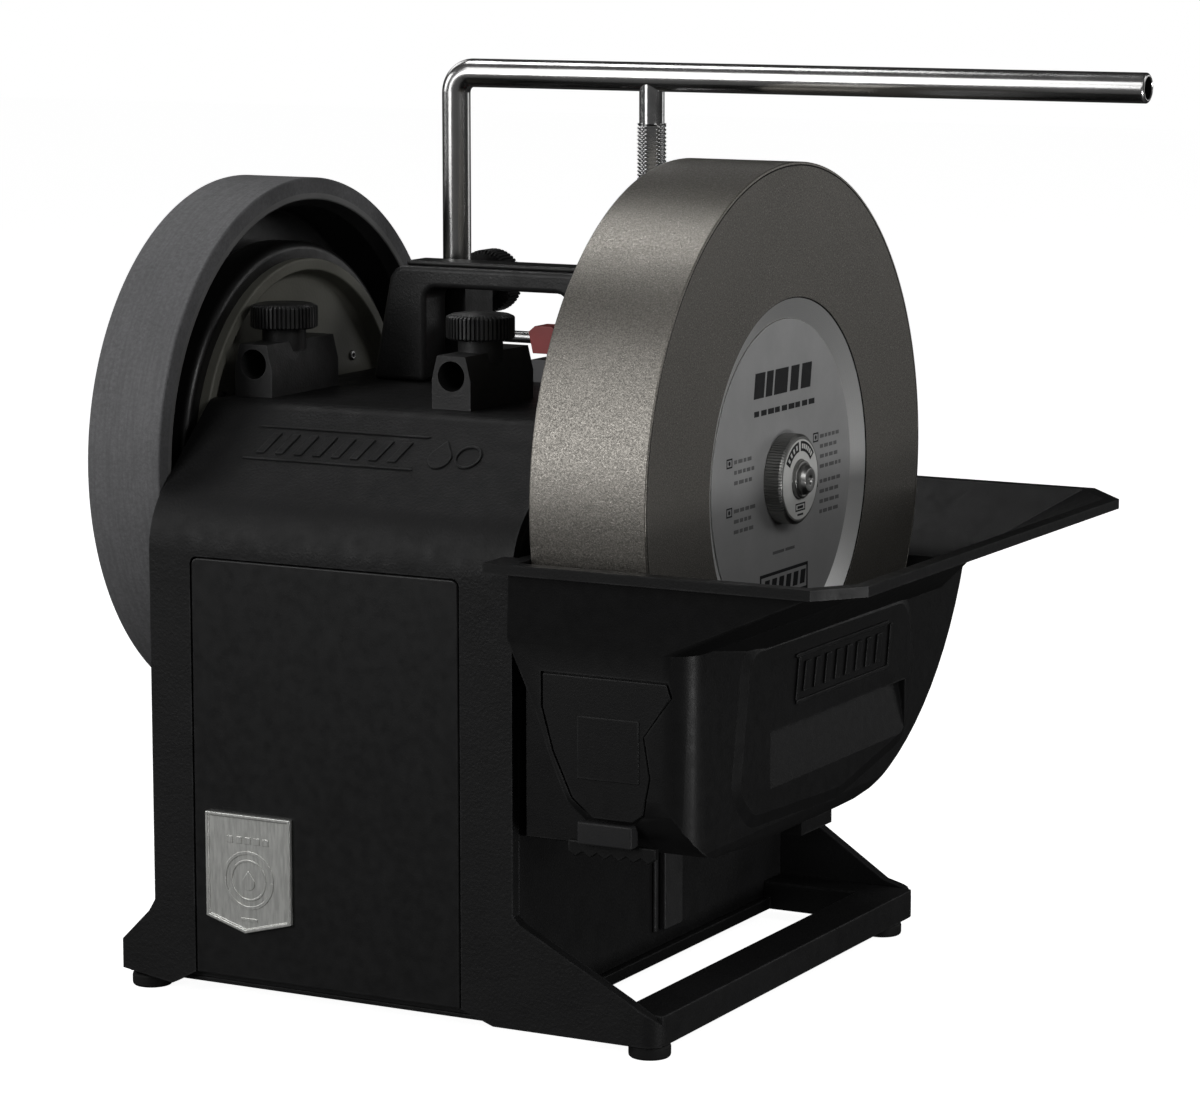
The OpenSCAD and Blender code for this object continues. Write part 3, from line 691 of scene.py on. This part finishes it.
def add_badge_motif():
    """Two rings round a droplet, blocks above and a bar below, raised on the badge."""
    low, high, mid = span("panel_badge")
    width = high.x - low.x
    origin = Vector((mid.x, low.y + 1.2 * MM, high.z - 0.55 * (high.z - low.z)))
    bm = bmesh.new()
    height = 0.7 * MM
    relief(bm, sector(0.265 * width, 0.3 * width, 0, 359.9, steps=56), origin, X, Z, height)
    relief(bm, sector(0.19 * width, 0.212 * width, 0, 359.9, steps=48), origin, X, Z, height)
    relief(bm, droplet(0.075 * width, 0, -0.03 * width), origin, X, Z, height)
    for k in range(5):
        left = (-0.25 + 0.105 * k) * width
        relief(bm, bar(left, left + 0.07 * width, 0.37 * width, 0.44 * width), origin, X, Z, height)
    relief(bm, bar(-0.1 * width, 0.1 * width, -0.42 * width, -0.39 * width), origin, X, Z, height)
    soften(emit("badge_motif", bm, "cabinet", "badge_silver", LOOKS["badge_silver"]), 0.15 * MM, 2)


def add_screw(name, centre, axis, radius, depth, body, replaced):
    """A pan head with a hexagon socket, facing along axis ("Y" or "X")."""
    socket = 0.45 * radius
    start = getattr(centre, axis.lower())
    points = [(start, 0), (start, radius), (start + depth * 0.75, radius), (start + depth, radius * 0.62),
              (start + depth, socket), (start + depth * 0.3, socket), (start + depth * 0.3, 0)]
    profile = eased(points, [0, 0, depth * 0.35, depth * 0.2, depth * 0.08, 0, 0], 2)
    rows = [i for i, (_, r) in enumerate(profile) if abs(r - socket) < socket * 0.25]
    emit(name, turned(profile, centre, axis, 48, hexagon(rows), closed=False), body, "screw_steel",
         LOOKS["screw_steel"], replaced)


def hexagon(rows):
    """Turns the given rows of a profile into a hexagon."""
    def shape(i, angle, radius):
        return radius / cos((angle % (pi / 3)) - pi / 6) * 0.9 if i in rows else radius
    return shape


def clusters(node):
    """The boxes of a node's separate solids, as (low, high) pairs in order of place."""
    bm = bmesh.new()
    bm.from_mesh(frame["nodes"][node].data)
    bmesh.ops.remove_doubles(bm, verts=bm.verts, dist=5e-6)
    left, found = set(bm.verts), []
    while left:
        group, queue = set(), [left.pop()]
        while queue:
            vert = queue.pop()
            group.add(vert)
            for link in vert.link_edges:
                other = link.other_vert(vert)
                if other in left:
                    left.discard(other)
                    queue.append(other)
        places = [v.co for v in group]
        found.append((Vector([min(p[i] for p in places) for i in range(3)]),
                      Vector([max(p[i] for p in places) for i in range(3)])))
    bm.free()
    return sorted(found, key=lambda pair: tuple(round(c, 4) for c in pair[0]))


def add_screws():
    for k, (low, high) in enumerate(clusters("frame_screws")):
        centre = (low + high) / 2
        centre.y = low.y
        add_screw(f"frame_screw_{k + 1}", centre, "Y", (high.x - low.x) / 2, high.y - low.y, "cabinet",
                  ("frame_screws",) if k == 0 else ())
    for k, (low, high) in enumerate(clusters("drive_screws")):
        centre = (low + high) / 2
        centre.x = low.x
        add_screw(f"drive_screw_{k + 1}", centre, "X", (high.z - low.z) / 2, high.x - low.x, "shaft",
                  ("drive_screws",) if k == 0 else ())


# ---------------------------------------------------------------- knobs

def add_clamp_knob(node, axis):
    """Ribbed knob with a domed cap, its stud towards the sleeve. The axis is "Z" or "Y"."""
    low, high, mid = span(node)
    i = "XYZ".index(axis)
    radius = (high.x - low.x) / 2
    base, top = low[i], high[i]
    cap = 1.5 * MM
    bottom = base + (6.4 if axis == "Z" else 16) * MM
    stud = 3 * MM
    points = [(base, 0), (base, stud), (bottom, stud), (bottom, radius - 1.2 * MM),
              (bottom + 0.8 * MM, radius), (top - cap, radius), (top - cap * 0.35, radius - 2.2 * MM),
              (top - cap * 0.55, radius - 4.4 * MM), (top - cap * 0.1, 0.35 * radius), (top, 0)]
    eases = [0, 0.4 * MM, 0, 0, 0.3 * MM, 0.9 * MM, 0.8 * MM, 0.6 * MM, 2 * MM, 0]
    profile = eased(points, eases, 3)
    rows = {k for k, (a, r) in enumerate(profile) if r > radius - 1.3 * MM and bottom - 1e-6 < a}
    bm = turned(profile, mid, axis, 384, ribbed(48, 1.1 * MM, rows), closed=False)
    emit(f"{node}_ribbed", bm, BODY[node], SLOT[node], LOOKS[SLOT[node]], (node,))


def add_micro_nut():
    low, high, mid = span("micro_adjust_nut")
    radius = (high.x - low.x) / 2
    points = [(low.z, LOOSE_BORE), (low.z, radius - 1 * MM), (low.z + 1 * MM, radius),
              (high.z - 1 * MM, radius), (high.z, radius - 1.4 * MM), (high.z, LOOSE_BORE)]
    profile = eased(points, 0.5 * MM, 3)
    rows = {k for k, (_, r) in enumerate(profile) if r > radius - 0.9 * MM}
    bm = turned(profile, mid, "Z", 288, ribbed(36, 0.9 * MM, rows))
    emit("micro_adjust_nut_ribbed", bm, "micro_nut", "knob_plastic", LOOKS["knob_plastic"],
         ("micro_adjust_nut",))


def add_honing_knob():
    low, high, mid = span("honing_knob")
    radius = (high.z - low.z) / 2
    points = [(low.x, 0), (low.x, 0.55 * radius), (low.x + 1.5 * MM, 0.62 * radius),
              (low.x + 1.5 * MM, 0.8 * radius), (low.x, 0.86 * radius), (low.x + 1.2 * MM, radius),
              (high.x, radius), (high.x, LOOSE_BORE), (low.x + 3 * MM, LOOSE_BORE), (low.x + 3 * MM, 0)]
    eases = [0, 0.6 * MM, 0.6 * MM, 0.6 * MM, 0.6 * MM, 1.2 * MM, 0.6 * MM, 0, 0, 0]
    profile = eased(points, eases, 3)
    rows = {k for k, (_, r) in enumerate(profile) if r > radius - 1 * MM}
    bm = turned(profile, mid, "X", 240, ribbed(30, 1.3 * MM, rows), closed=False)
    emit("honing_knob_ribbed", bm, "hone_knob", "knob_plastic", LOOKS["knob_plastic"], ("honing_knob",))


# ---------------------------------------------------------------- shaft train

def add_grinding_wheel():
    """A grit rim and sides, a bright cone down to the label, and two thin seams in the right side, painted
    near black inside as painted shade.
    """
    low, high, mid = span("grinding_wheel")
    radius = (high.z - low.z) / 2
    disc_low, disc_high, _ = span("wheel_label_disc")
    floor, mouth = (disc_high.z - disc_low.z) / 2 + 0.3 * MM, 71.5 * MM
    seam, rim = 0.45 * MM, radius - 1.1 * MM
    points = [(low.x, BORE), (low.x, radius), (high.x, radius), (high.x, rim), (high.x - seam, rim),
              (high.x - seam, rim - seam), (high.x, rim - seam), (high.x, mouth + seam),
              (high.x - seam, mouth + seam), (high.x - seam, mouth), (disc_low.x, floor), (disc_low.x, BORE)]
    eases = [0, 0.9 * MM, 0.7 * MM, 0.1 * MM, 0, 0, 0.1 * MM, 0.1 * MM, 0, 0.1 * MM, 0.2 * MM, 0]
    tread, side, cone, shaded_groove = range(4)

    def marks(a, b):
        along, reach = (a[0] + b[0]) / 2, (a[1] + b[1]) / 2
        # the seam faces take the near-black painted shade look
        if mouth + 1e-6 < reach < rim + 1e-6 and 0.2 * seam < high.x - along < 1.2 * seam:
            return shaded_groove
        if along > max(disc_low.x - 1e-5, mid.x) and floor - 1 * MM < reach < mouth + 1e-5:
            return cone
        return tread if reach > rim else side

    bm = turned(eased(points, eases, 4), mid, "X", 256, marks=marks)
    looks = [LOOKS[name] for name in ("wheel_grit", "grit_side", "cone_polish", "bore_dark")]
    emit("grinding_wheel_turned", bm, "shaft", "wheel_grit", looks, ("grinding_wheel",))


def add_label():
    """The wheel's label: plain bars and boxes where a label has its title, notes and mark."""
    low, high, mid = span("wheel_label_disc")
    radius = (high.z - low.z) / 2
    profile = eased([(low.x, BORE), (low.x, radius), (high.x, radius), (high.x, BORE)], 0.15 * MM, 2)
    emit("label_disc", turned(profile, mid, "X", 160), "shaft", "label_disc", LOOKS["label_disc"],
         ("wheel_label_disc",))
    origin = Vector((high.x, mid.y, mid.z))
    thin = 0.04 * MM
    dark, grey = bmesh.new(), bmesh.new()

    def place(bm, outline):
        relief(bm, [(a * MM, b * MM) for a, b in outline], origin, Y, Z, thin)

    for left, width in ((-27, 9.0), (-16.5, 6.0), (-9, 12.0), (5.5, 7.5), (15.5, 9.0)):
        place(dark, bar(left, left + width, 34, 44, 1.5))
    for k in range(9):
        left = -26.5 + 6.2 * k
        place(dark, bar(left, left + 4.4 + (k % 3) * 0.5, 26.9, 29.1))
    box = ((0, 5, 1.3, 1.9), (0, 5, -1.9, -1.3), (0, 0.6, -1.9, 1.9), (4.4, 5, -1.9, 1.9))
    for left, top, rows in ((-50.5, 11.4, 3), (-50.5, -7.8, 3), (27.5, 12.8, 4), (27.5, -5.6, 4)):
        for a0, a1, b0, b1 in box:
            place(dark, bar(left + a0, left + a1, top + b0, top + b1))
        place(dark, disc(0.9, left + 2.5, top, 12))
        for row in range(rows):
            cursor, middle = left + 6.6, top - 4.1 * row
            end = left + rng.uniform(23, 27)
            while cursor < end - 2:
                width = rng.uniform(2.2, 4.6)
                place(grey, bar(cursor, min(cursor + width, end), middle - 0.75, middle + 0.75))
                cursor += width + 1.0
    place(grey, bar(-9, 1.5, -29.6, -28.4))
    place(grey, bar(2.6, 11, -29.6, -28.4))
    for a0, a1, b0, b1 in ((-20.5, 23.5, -37.8, -36.5), (-20.5, 23.5, -47.5, -46.2),
                           (-20.5, -19.2, -47.5, -36.5), (22.2, 23.5, -47.5, -36.5)):
        place(dark, bar(a0, a1, b0, b1))
    for k in range(6):
        place(dark, bar(-17 + 6.6 * k, -12.6 + 6.6 * k, -44.8, -39.2, 1.2))
    emit("label_print_dark", dark, "shaft", "label_disc", LOOKS["print_dark"])
    emit("label_print_grey", grey, "shaft", "label_disc", LOOKS["print_grey"])


def add_lock_nut():
    """Knurled nut with a white face and two dark arcs over it."""
    low, high, mid = span("quick_lock_nut")
    radius = (high.z - low.z) / 2
    boss, face = 7.6 * MM, high.x - 1.8 * MM
    points = [(low.x, LOOSE_BORE), (low.x, radius), (face - 1.2 * MM, radius), (face, radius - 1.2 * MM),
              (face, boss), (high.x, boss), (high.x, LOOSE_BORE)]
    profile = eased(points, [0, 0.3 * MM, 0.4 * MM, 0.4 * MM, 0.2 * MM, 0.6 * MM, 0.2 * MM], 3)
    rows = {k for k, (a, r) in enumerate(profile)
            if (a > low.x + 0.8 * MM and r > radius - 0.25 * MM)
            or (a < face - 1.2 * MM and r > radius - 0.1 * MM)}
    bm = turned(profile, mid, "X", 540, ribbed(90, 0.35 * MM, rows))
    emit("lock_nut_knurled", bm, "lock_nut", "lock_nut_zinc", LOOKS["lock_nut_zinc"], ("quick_lock_nut",))
    front = face + 0.12 * MM
    points = [(face, boss + 0.5 * MM), (face, radius - 2.0 * MM), (front, radius - 2.1 * MM),
              (front, boss + 0.6 * MM)]
    white = turned(eased(points, 0), mid, "X", 96)
    emit("lock_nut_face", white, "lock_nut", "lock_nut_zinc", LOOKS["nut_face"])
    origin = Vector((front, mid.y, mid.z))
    dark = bmesh.new()
    thin = 0.05 * MM
    for start, end in ((97, 150), (38, 90)):
        relief(dark, sector(11.2 * MM, 15.2 * MM, start, end), origin, Y, Z, thin)
    for a0, a1, b0, b1 in ((-4.4, 4.4, -10.0, -9.4), (-4.4, 4.4, -12.6, -12.0), (-4.4, -3.8, -12.6, -9.4),
                           (3.8, 4.4, -12.6, -9.4), (-2.6, 2.6, -11.6, -10.5), (-2.6, 2.6, -14.4, -13.6)):
        relief(dark, [(a * MM, b * MM) for a, b in bar(a0, a1, b0, b1)], origin, Y, Z, thin)
    emit("lock_nut_print", dark, "lock_nut", "lock_nut_zinc", LOOKS["print_dark"])
    pale = bmesh.new()
    raised = origin + X * thin
    for start, end, count in ((100, 147, 4), (41, 87, 6)):
        for k in range(count):
            middle = start + (end - start) * (k + 0.5) / count
            block = sector(12.3 * MM, 14.2 * MM, middle - 2.6, middle + 2.6, steps=4)
            relief(pale, block, raised, Y, Z, thin)
    emit("lock_nut_marks", pale, "lock_nut", "lock_nut_zinc", LOOKS["nut_face"])


def add_shaft():
    """The shaft with a chamfered tip and a centre hole, and the flange behind the grinding wheel."""
    low, high, mid = span("main_shaft")
    radius = (high.z - low.z) / 2
    tip = high.x
    points = [(low.x, 0), (low.x, radius - 0.8 * MM), (low.x + 0.8 * MM, radius),
              (tip - 1.6 * MM, radius), (tip, radius - 1.4 * MM), (tip, 2 * MM),
              (tip - 0.8 * MM, 1.4 * MM), (tip - 0.8 * MM, 0)]
    profile = eased(points, [0, 0.2 * MM, 0.2 * MM, 0.5 * MM, 0.5 * MM, 0.2 * MM, 0, 0], 4)
    emit("main_shaft_turned", turned(profile, mid, "X", 96, closed=False), "shaft", "shaft_steel",
         LOOKS["shaft_steel"], ("main_shaft",))
    low, high, mid = span("wheel_flange")
    points = [(low.x, BORE), (low.x, 15 * MM), (high.x - 1 * MM, 17 * MM), (high.x, 17 * MM), (high.x, BORE)]
    profile = eased(points, 0.4 * MM, 3)
    emit("wheel_flange_turned", turned(profile, mid, "X", 96), "shaft", "flange_steel", LOOKS["flange_steel"],
         ("wheel_flange",))


def add_honing_wheel():
    """The wheel's core, open towards the drive wheel, and its leather tread; the core's inner lip is light
    grey as a painted highlight.
    """
    low, high, mid = span("honing_wheel")
    tread_low, tread_high, _ = span("honing_tread")
    outer = (tread_high.z - tread_low.z) / 2
    inner = outer - 6.5 * MM
    face, back = high.x, low.x
    web = span("drive_wheel")[0].x - 2 * MM
    points = [(back, BORE), (back, 40 * MM), (back + 3 * MM, 44 * MM), (back + 3 * MM, 96 * MM),
              (back, 99 * MM), (back, inner), (face, inner), (face, inner - 2.5 * MM),
              (face - 6 * MM, 99.8 * MM), (web, 99 * MM), (web, BORE)]
    eases = [0, 1.5 * MM, 1.5 * MM, 1.2 * MM, 1.2 * MM, 0, 0, 0.8 * MM, 2 * MM, 1.5 * MM, 0]
    core, lip = range(2)

    def marks(a, b):
        along, reach = (a[0] + b[0]) / 2, (a[1] + b[1]) / 2
        # faces at the inner lip take the painted highlight look
        return lip if along > face - 1.3 * MM and reach > 101.5 * MM else core

    bm = turned(eased(points, eases, 4), mid, "X", 192, marks=marks)
    looks = [LOOKS["hone_core"], LOOKS["hone_lip"]]
    emit("honing_wheel_turned", bm, "shaft", "hone_core", looks, ("honing_wheel",))
    points = [(tread_low.x, inner), (tread_low.x, outer), (tread_high.x, outer), (tread_high.x, inner)]
    bm = turned(eased(points, [0, 1.0 * MM, 1.0 * MM, 0], 4), mid, "X", 256)
    emit("honing_tread_turned", bm, "shaft", "hone_leather", LOOKS["hone_leather"], ("honing_tread",))


def add_drive_wheel():
    low, high, mid = span("drive_wheel")
    outer = (high.z - low.z) / 2
    face, web = high.x, high.x - 7 * MM
    points = [(low.x, BORE), (low.x, outer), (face, outer), (face, outer - 4.8 * MM),
              (web, outer - 6.8 * MM), (web, 24 * MM), (face - 1 * MM, 22 * MM), (face - 1 * MM, BORE)]
    eases = [0, 0, 0.9 * MM, 0.9 * MM, 2.5 * MM, 2.5 * MM, 0.8 * MM, 0]
    emit("drive_wheel_turned", turned(eased(points, eases, 4), mid, "X", 192), "shaft", "drive_plastic",
         LOOKS["drive_plastic"], ("drive_wheel",))
    low, high, mid = span("drive_tyre")
    tyre = (high.z - low.z) / 2
    points = [(low.x, outer), (low.x, tyre), (high.x, tyre), (high.x, outer)]
    bm = turned(eased(points, [0, 3.6 * MM, 3.6 * MM, 0], 6), mid, "X", 192)
    emit("drive_tyre_turned", bm, "shaft", "drive_rubber", LOOKS["drive_rubber"], ("drive_tyre",))


# ---------------------------------------------------------------- tool support

def join_rings(bm, rings):
    """Faces between rings of as many points each, and one over either end."""
    steps = len(rings[0])
    for a, b in zip(rings, rings[1:]):
        for k in range(steps):
            bm.faces.new((a[k], a[(k + 1) % steps], b[(k + 1) % steps], b[k]))
    bm.faces.new(rings[0])
    bm.faces.new(rings[-1])


def tube(path, across, radii, steps=64):
    """A round bar: path is (place, direction) pairs at right angles to across, with a radius for each."""
    bm = bmesh.new()
    rings = []
    turns = [2 * pi * k / steps for k in range(steps)]
    for (place, ahead), radius in zip(path, radii):
        side = ahead.cross(across).normalized()
        circle = [(across * cos(turn) + side * sin(turn)) * radius for turn in turns]
        rings.append([bm.verts.new(place + point) for point in circle])
    join_rings(bm, rings)
    return bm


def add_support_bar():
    """The plain leg, the bend and the level bar, with a rounded end and a hole in it, painted near black
    inside as painted shade.
    """
    low, high, _ = span("support_bar")
    radius, bend = (high.y - low.y) / 2, 8.5 * MM
    leg_x, leg_y, bar_z = low.x + radius, (low.y + high.y) / 2, high.z - radius
    corner = Vector((leg_x + bend, leg_y, bar_z - bend))
    end = high.x
    path = [(Vector((leg_x, leg_y, low.z)), Z)]
    for k in range(17):
        turn = pi - pi / 2 * k / 16
        path.append((corner + Vector((cos(turn), 0, sin(turn))) * bend, Vector((sin(turn), 0, -cos(turn)))))
    radii = [radius] * len(path)
    hole = 4.3 * MM
    for along, r in ((-1.0, radius), (-0.7, radius - 0.12 * MM), (-0.25, radius - 0.6 * MM),
                     (0, radius - 1.1 * MM), (0, hole + 0.3 * MM), (-0.3, hole), (-14, hole)):
        path.append((Vector((end + along * MM, leg_y, bar_z)), X))
        radii.append(r)
    bm = tube(path, Y, radii)
    for face in bm.faces:
        centre = face.calc_center_median()
        reach = (centre - Vector((centre.x, leg_y, bar_z))).length
        # faces inside the end hole take the painted shade look
        face.material_index = 1 if centre.x > end - 15 * MM and reach < hole + 0.05 * MM else 0
    emit("support_bar_tube", bm, "support", "chrome_bar", [LOOKS["chrome_bar"], LOOKS["bore_dark"]],
         ("support_bar",))


def add_threaded_leg():
    """Plain below, a fine thread with one flat along it above, and a neck under the bar."""
    low, high, mid = span("threaded_leg")
    radius, neck, pitch, depth = (high.x - low.x) / 2, 5.2 * MM, 1.6 * MM, 0.75 * MM
    thread_low = span("micro_adjust_nut")[0].z
    thread_top = high.z - 16.6 * MM
    flat = radians(-62)
    steps, fine = 64, 8
    levels = [low.z, thread_low - 0.2 * MM]
    count = int((thread_top - thread_low) / pitch * fine)
    levels += [thread_low + (thread_top - thread_low) * k / count for k in range(count + 1)]
    levels += [thread_top + d * MM for d in (0.6, 0.7)] + [high.z]
    bm = bmesh.new()
    rings = []
    for z in levels:
        ring = []
        for k in range(steps):
            angle = 2 * pi * k / steps
            r = radius
            if thread_low <= z <= thread_top:
                phase = ((z - thread_low) / pitch - angle / (2 * pi)) % 1.0
                r = radius - depth * max(0.0, 1 - abs(phase * 2 - 1) * 1.25)
                facing = cos(angle - flat)
                if facing > 0.5:
                    r = min(r, (radius - 0.9 * MM) / facing)
            elif z > thread_top + 0.65 * MM:
                r = neck
            ring.append(bm.verts.new((mid.x + r * cos(angle), mid.y + r * sin(angle), z)))
        rings.append(ring)
    join_rings(bm, rings)
    bar_low = span("support_bar")[1].z - radius
    for vert in rings[-1]:
        vert.co.z = bar_low - (radius ** 2 - (vert.co.y - mid.y) ** 2) ** 0.5 + 0.05 * MM
    emit("threaded_leg_turned", bm, "support", "thread_steel", LOOKS["thread_steel"], ("threaded_leg",), 60)


# ---------------------------------------------------------------- trough

def add_trough_details():
    """A framed row of ribs on the tub's side, a pad on the scraper and a toothed strip under the catch."""
    _, high, mid = span("water_trough")
    slot, look = SLOT["water_trough"], LOOKS["trough_plastic"]
    point, _ = touch("water_trough", (high.x, mid.y - 10 * MM, 0.135), -X)
    bm = bmesh.new()
    height = 0.9 * MM

    def place(outline):
        relief(bm, [(a * MM, b * MM) for a, b in outline], point, Y, Z, height)

    for outline in (bar(-44, 42, 10.6, 12.2), bar(-44, 42, -7.6, -6.0), bar(-45, -43, -6, 10.6, 3),
                    bar(41, 43, -6, 10.6, 3)):
        place(outline)
    for k in range(8):
        place(bar(-38 + 9.6 * k, -33.4 + 9.6 * k, -3.4, 8.2, 2.4))
    soften(emit("trough_side_relief", bm, "trough", slot, look), 0.3 * MM, 2)
    low, high, mid = span("trough_scraper")
    bm = bmesh.new()
    origin = Vector((mid.x, low.y, low.z + 0.5 * (high.z - low.z)))
    relief(bm, bar(-12 * MM, 14 * MM, -12 * MM, 12 * MM), origin, X, Z, 0.5 * MM)
    soften(emit("scraper_pad", bm, "trough", slot, look), 0.3 * MM, 2)
    low, high, _ = span("trough_catch")
    bm = bmesh.new()
    left, right, foot = low.x - 6 * MM, high.x + 8 * MM, low.z - 3.4 * MM
    teeth = [(left + (right - left) * k / 12, foot - (2.4 if k % 2 else 0.4) * MM) for k in range(13)]
    outline = teeth + [(right, low.z + 0.4 * MM), (left, low.z + 0.4 * MM)]
    relief(bm, outline, Vector((0, high.y + 1 * MM, 0)), X, Z, 3 * MM)
    soften(emit("catch_strip", bm, "trough", slot, look), 0.4 * MM, 2)


# ---------------------------------------------------------------- hidden parts and the floor

def paint_hidden():
    """Nodes shown as they are, with their own looks."""
    for node, piece in frame["nodes"].items():
        if not piece.hide_render:
            piece.data.materials.clear()
            piece.data.materials.append(LOOKS[SLOT[node]])


def add_floor():
    """A pale floor that glows a little and gives the machine no light."""
    bm = bmesh.new()
    bmesh.ops.create_grid(bm, x_segments=8, y_segments=8, size=6)
    mesh = bpy.data.meshes.new("floor")
    bm.to_mesh(mesh)
    bm.free()
    look = Look("floor_look", (0.86, 0.86, 0.86), 0.7, specular=0.1)
    look.tint(look.noise(3, 2), 0.99, 1.01)
    material = look.done()
    look.bsdf.inputs["Emission Color"].default_value = (1, 1, 1, 1)
    look.bsdf.inputs["Emission Strength"].default_value = 0.95
    mesh.materials.append(material)
    floor = bpy.data.objects.new("floor", mesh)
    floor.location.z = CAD_BOX[0][2]
    floor.visible_diffuse = False
    floor.visible_glossy = False
    bpy.context.scene.collection.objects.link(floor)


add_camera()
add_light()
LOOKS = make_looks()
add_shells()
add_shoulder_relief()
add_badge_motif()
add_screws()
for knob in ("front_left_clamp_knob", "front_right_clamp_knob"):
    add_clamp_knob(knob, "Z")
for knob in ("rear_left_clamp_knob", "rear_right_clamp_knob"):
    add_clamp_knob(knob, "Y")
add_micro_nut()
add_honing_knob()
add_grinding_wheel()
add_label()
add_lock_nut()
add_shaft()
add_honing_wheel()
add_drive_wheel()
add_support_bar()
add_threaded_leg()
add_trough_details()
paint_hidden()
add_floor()
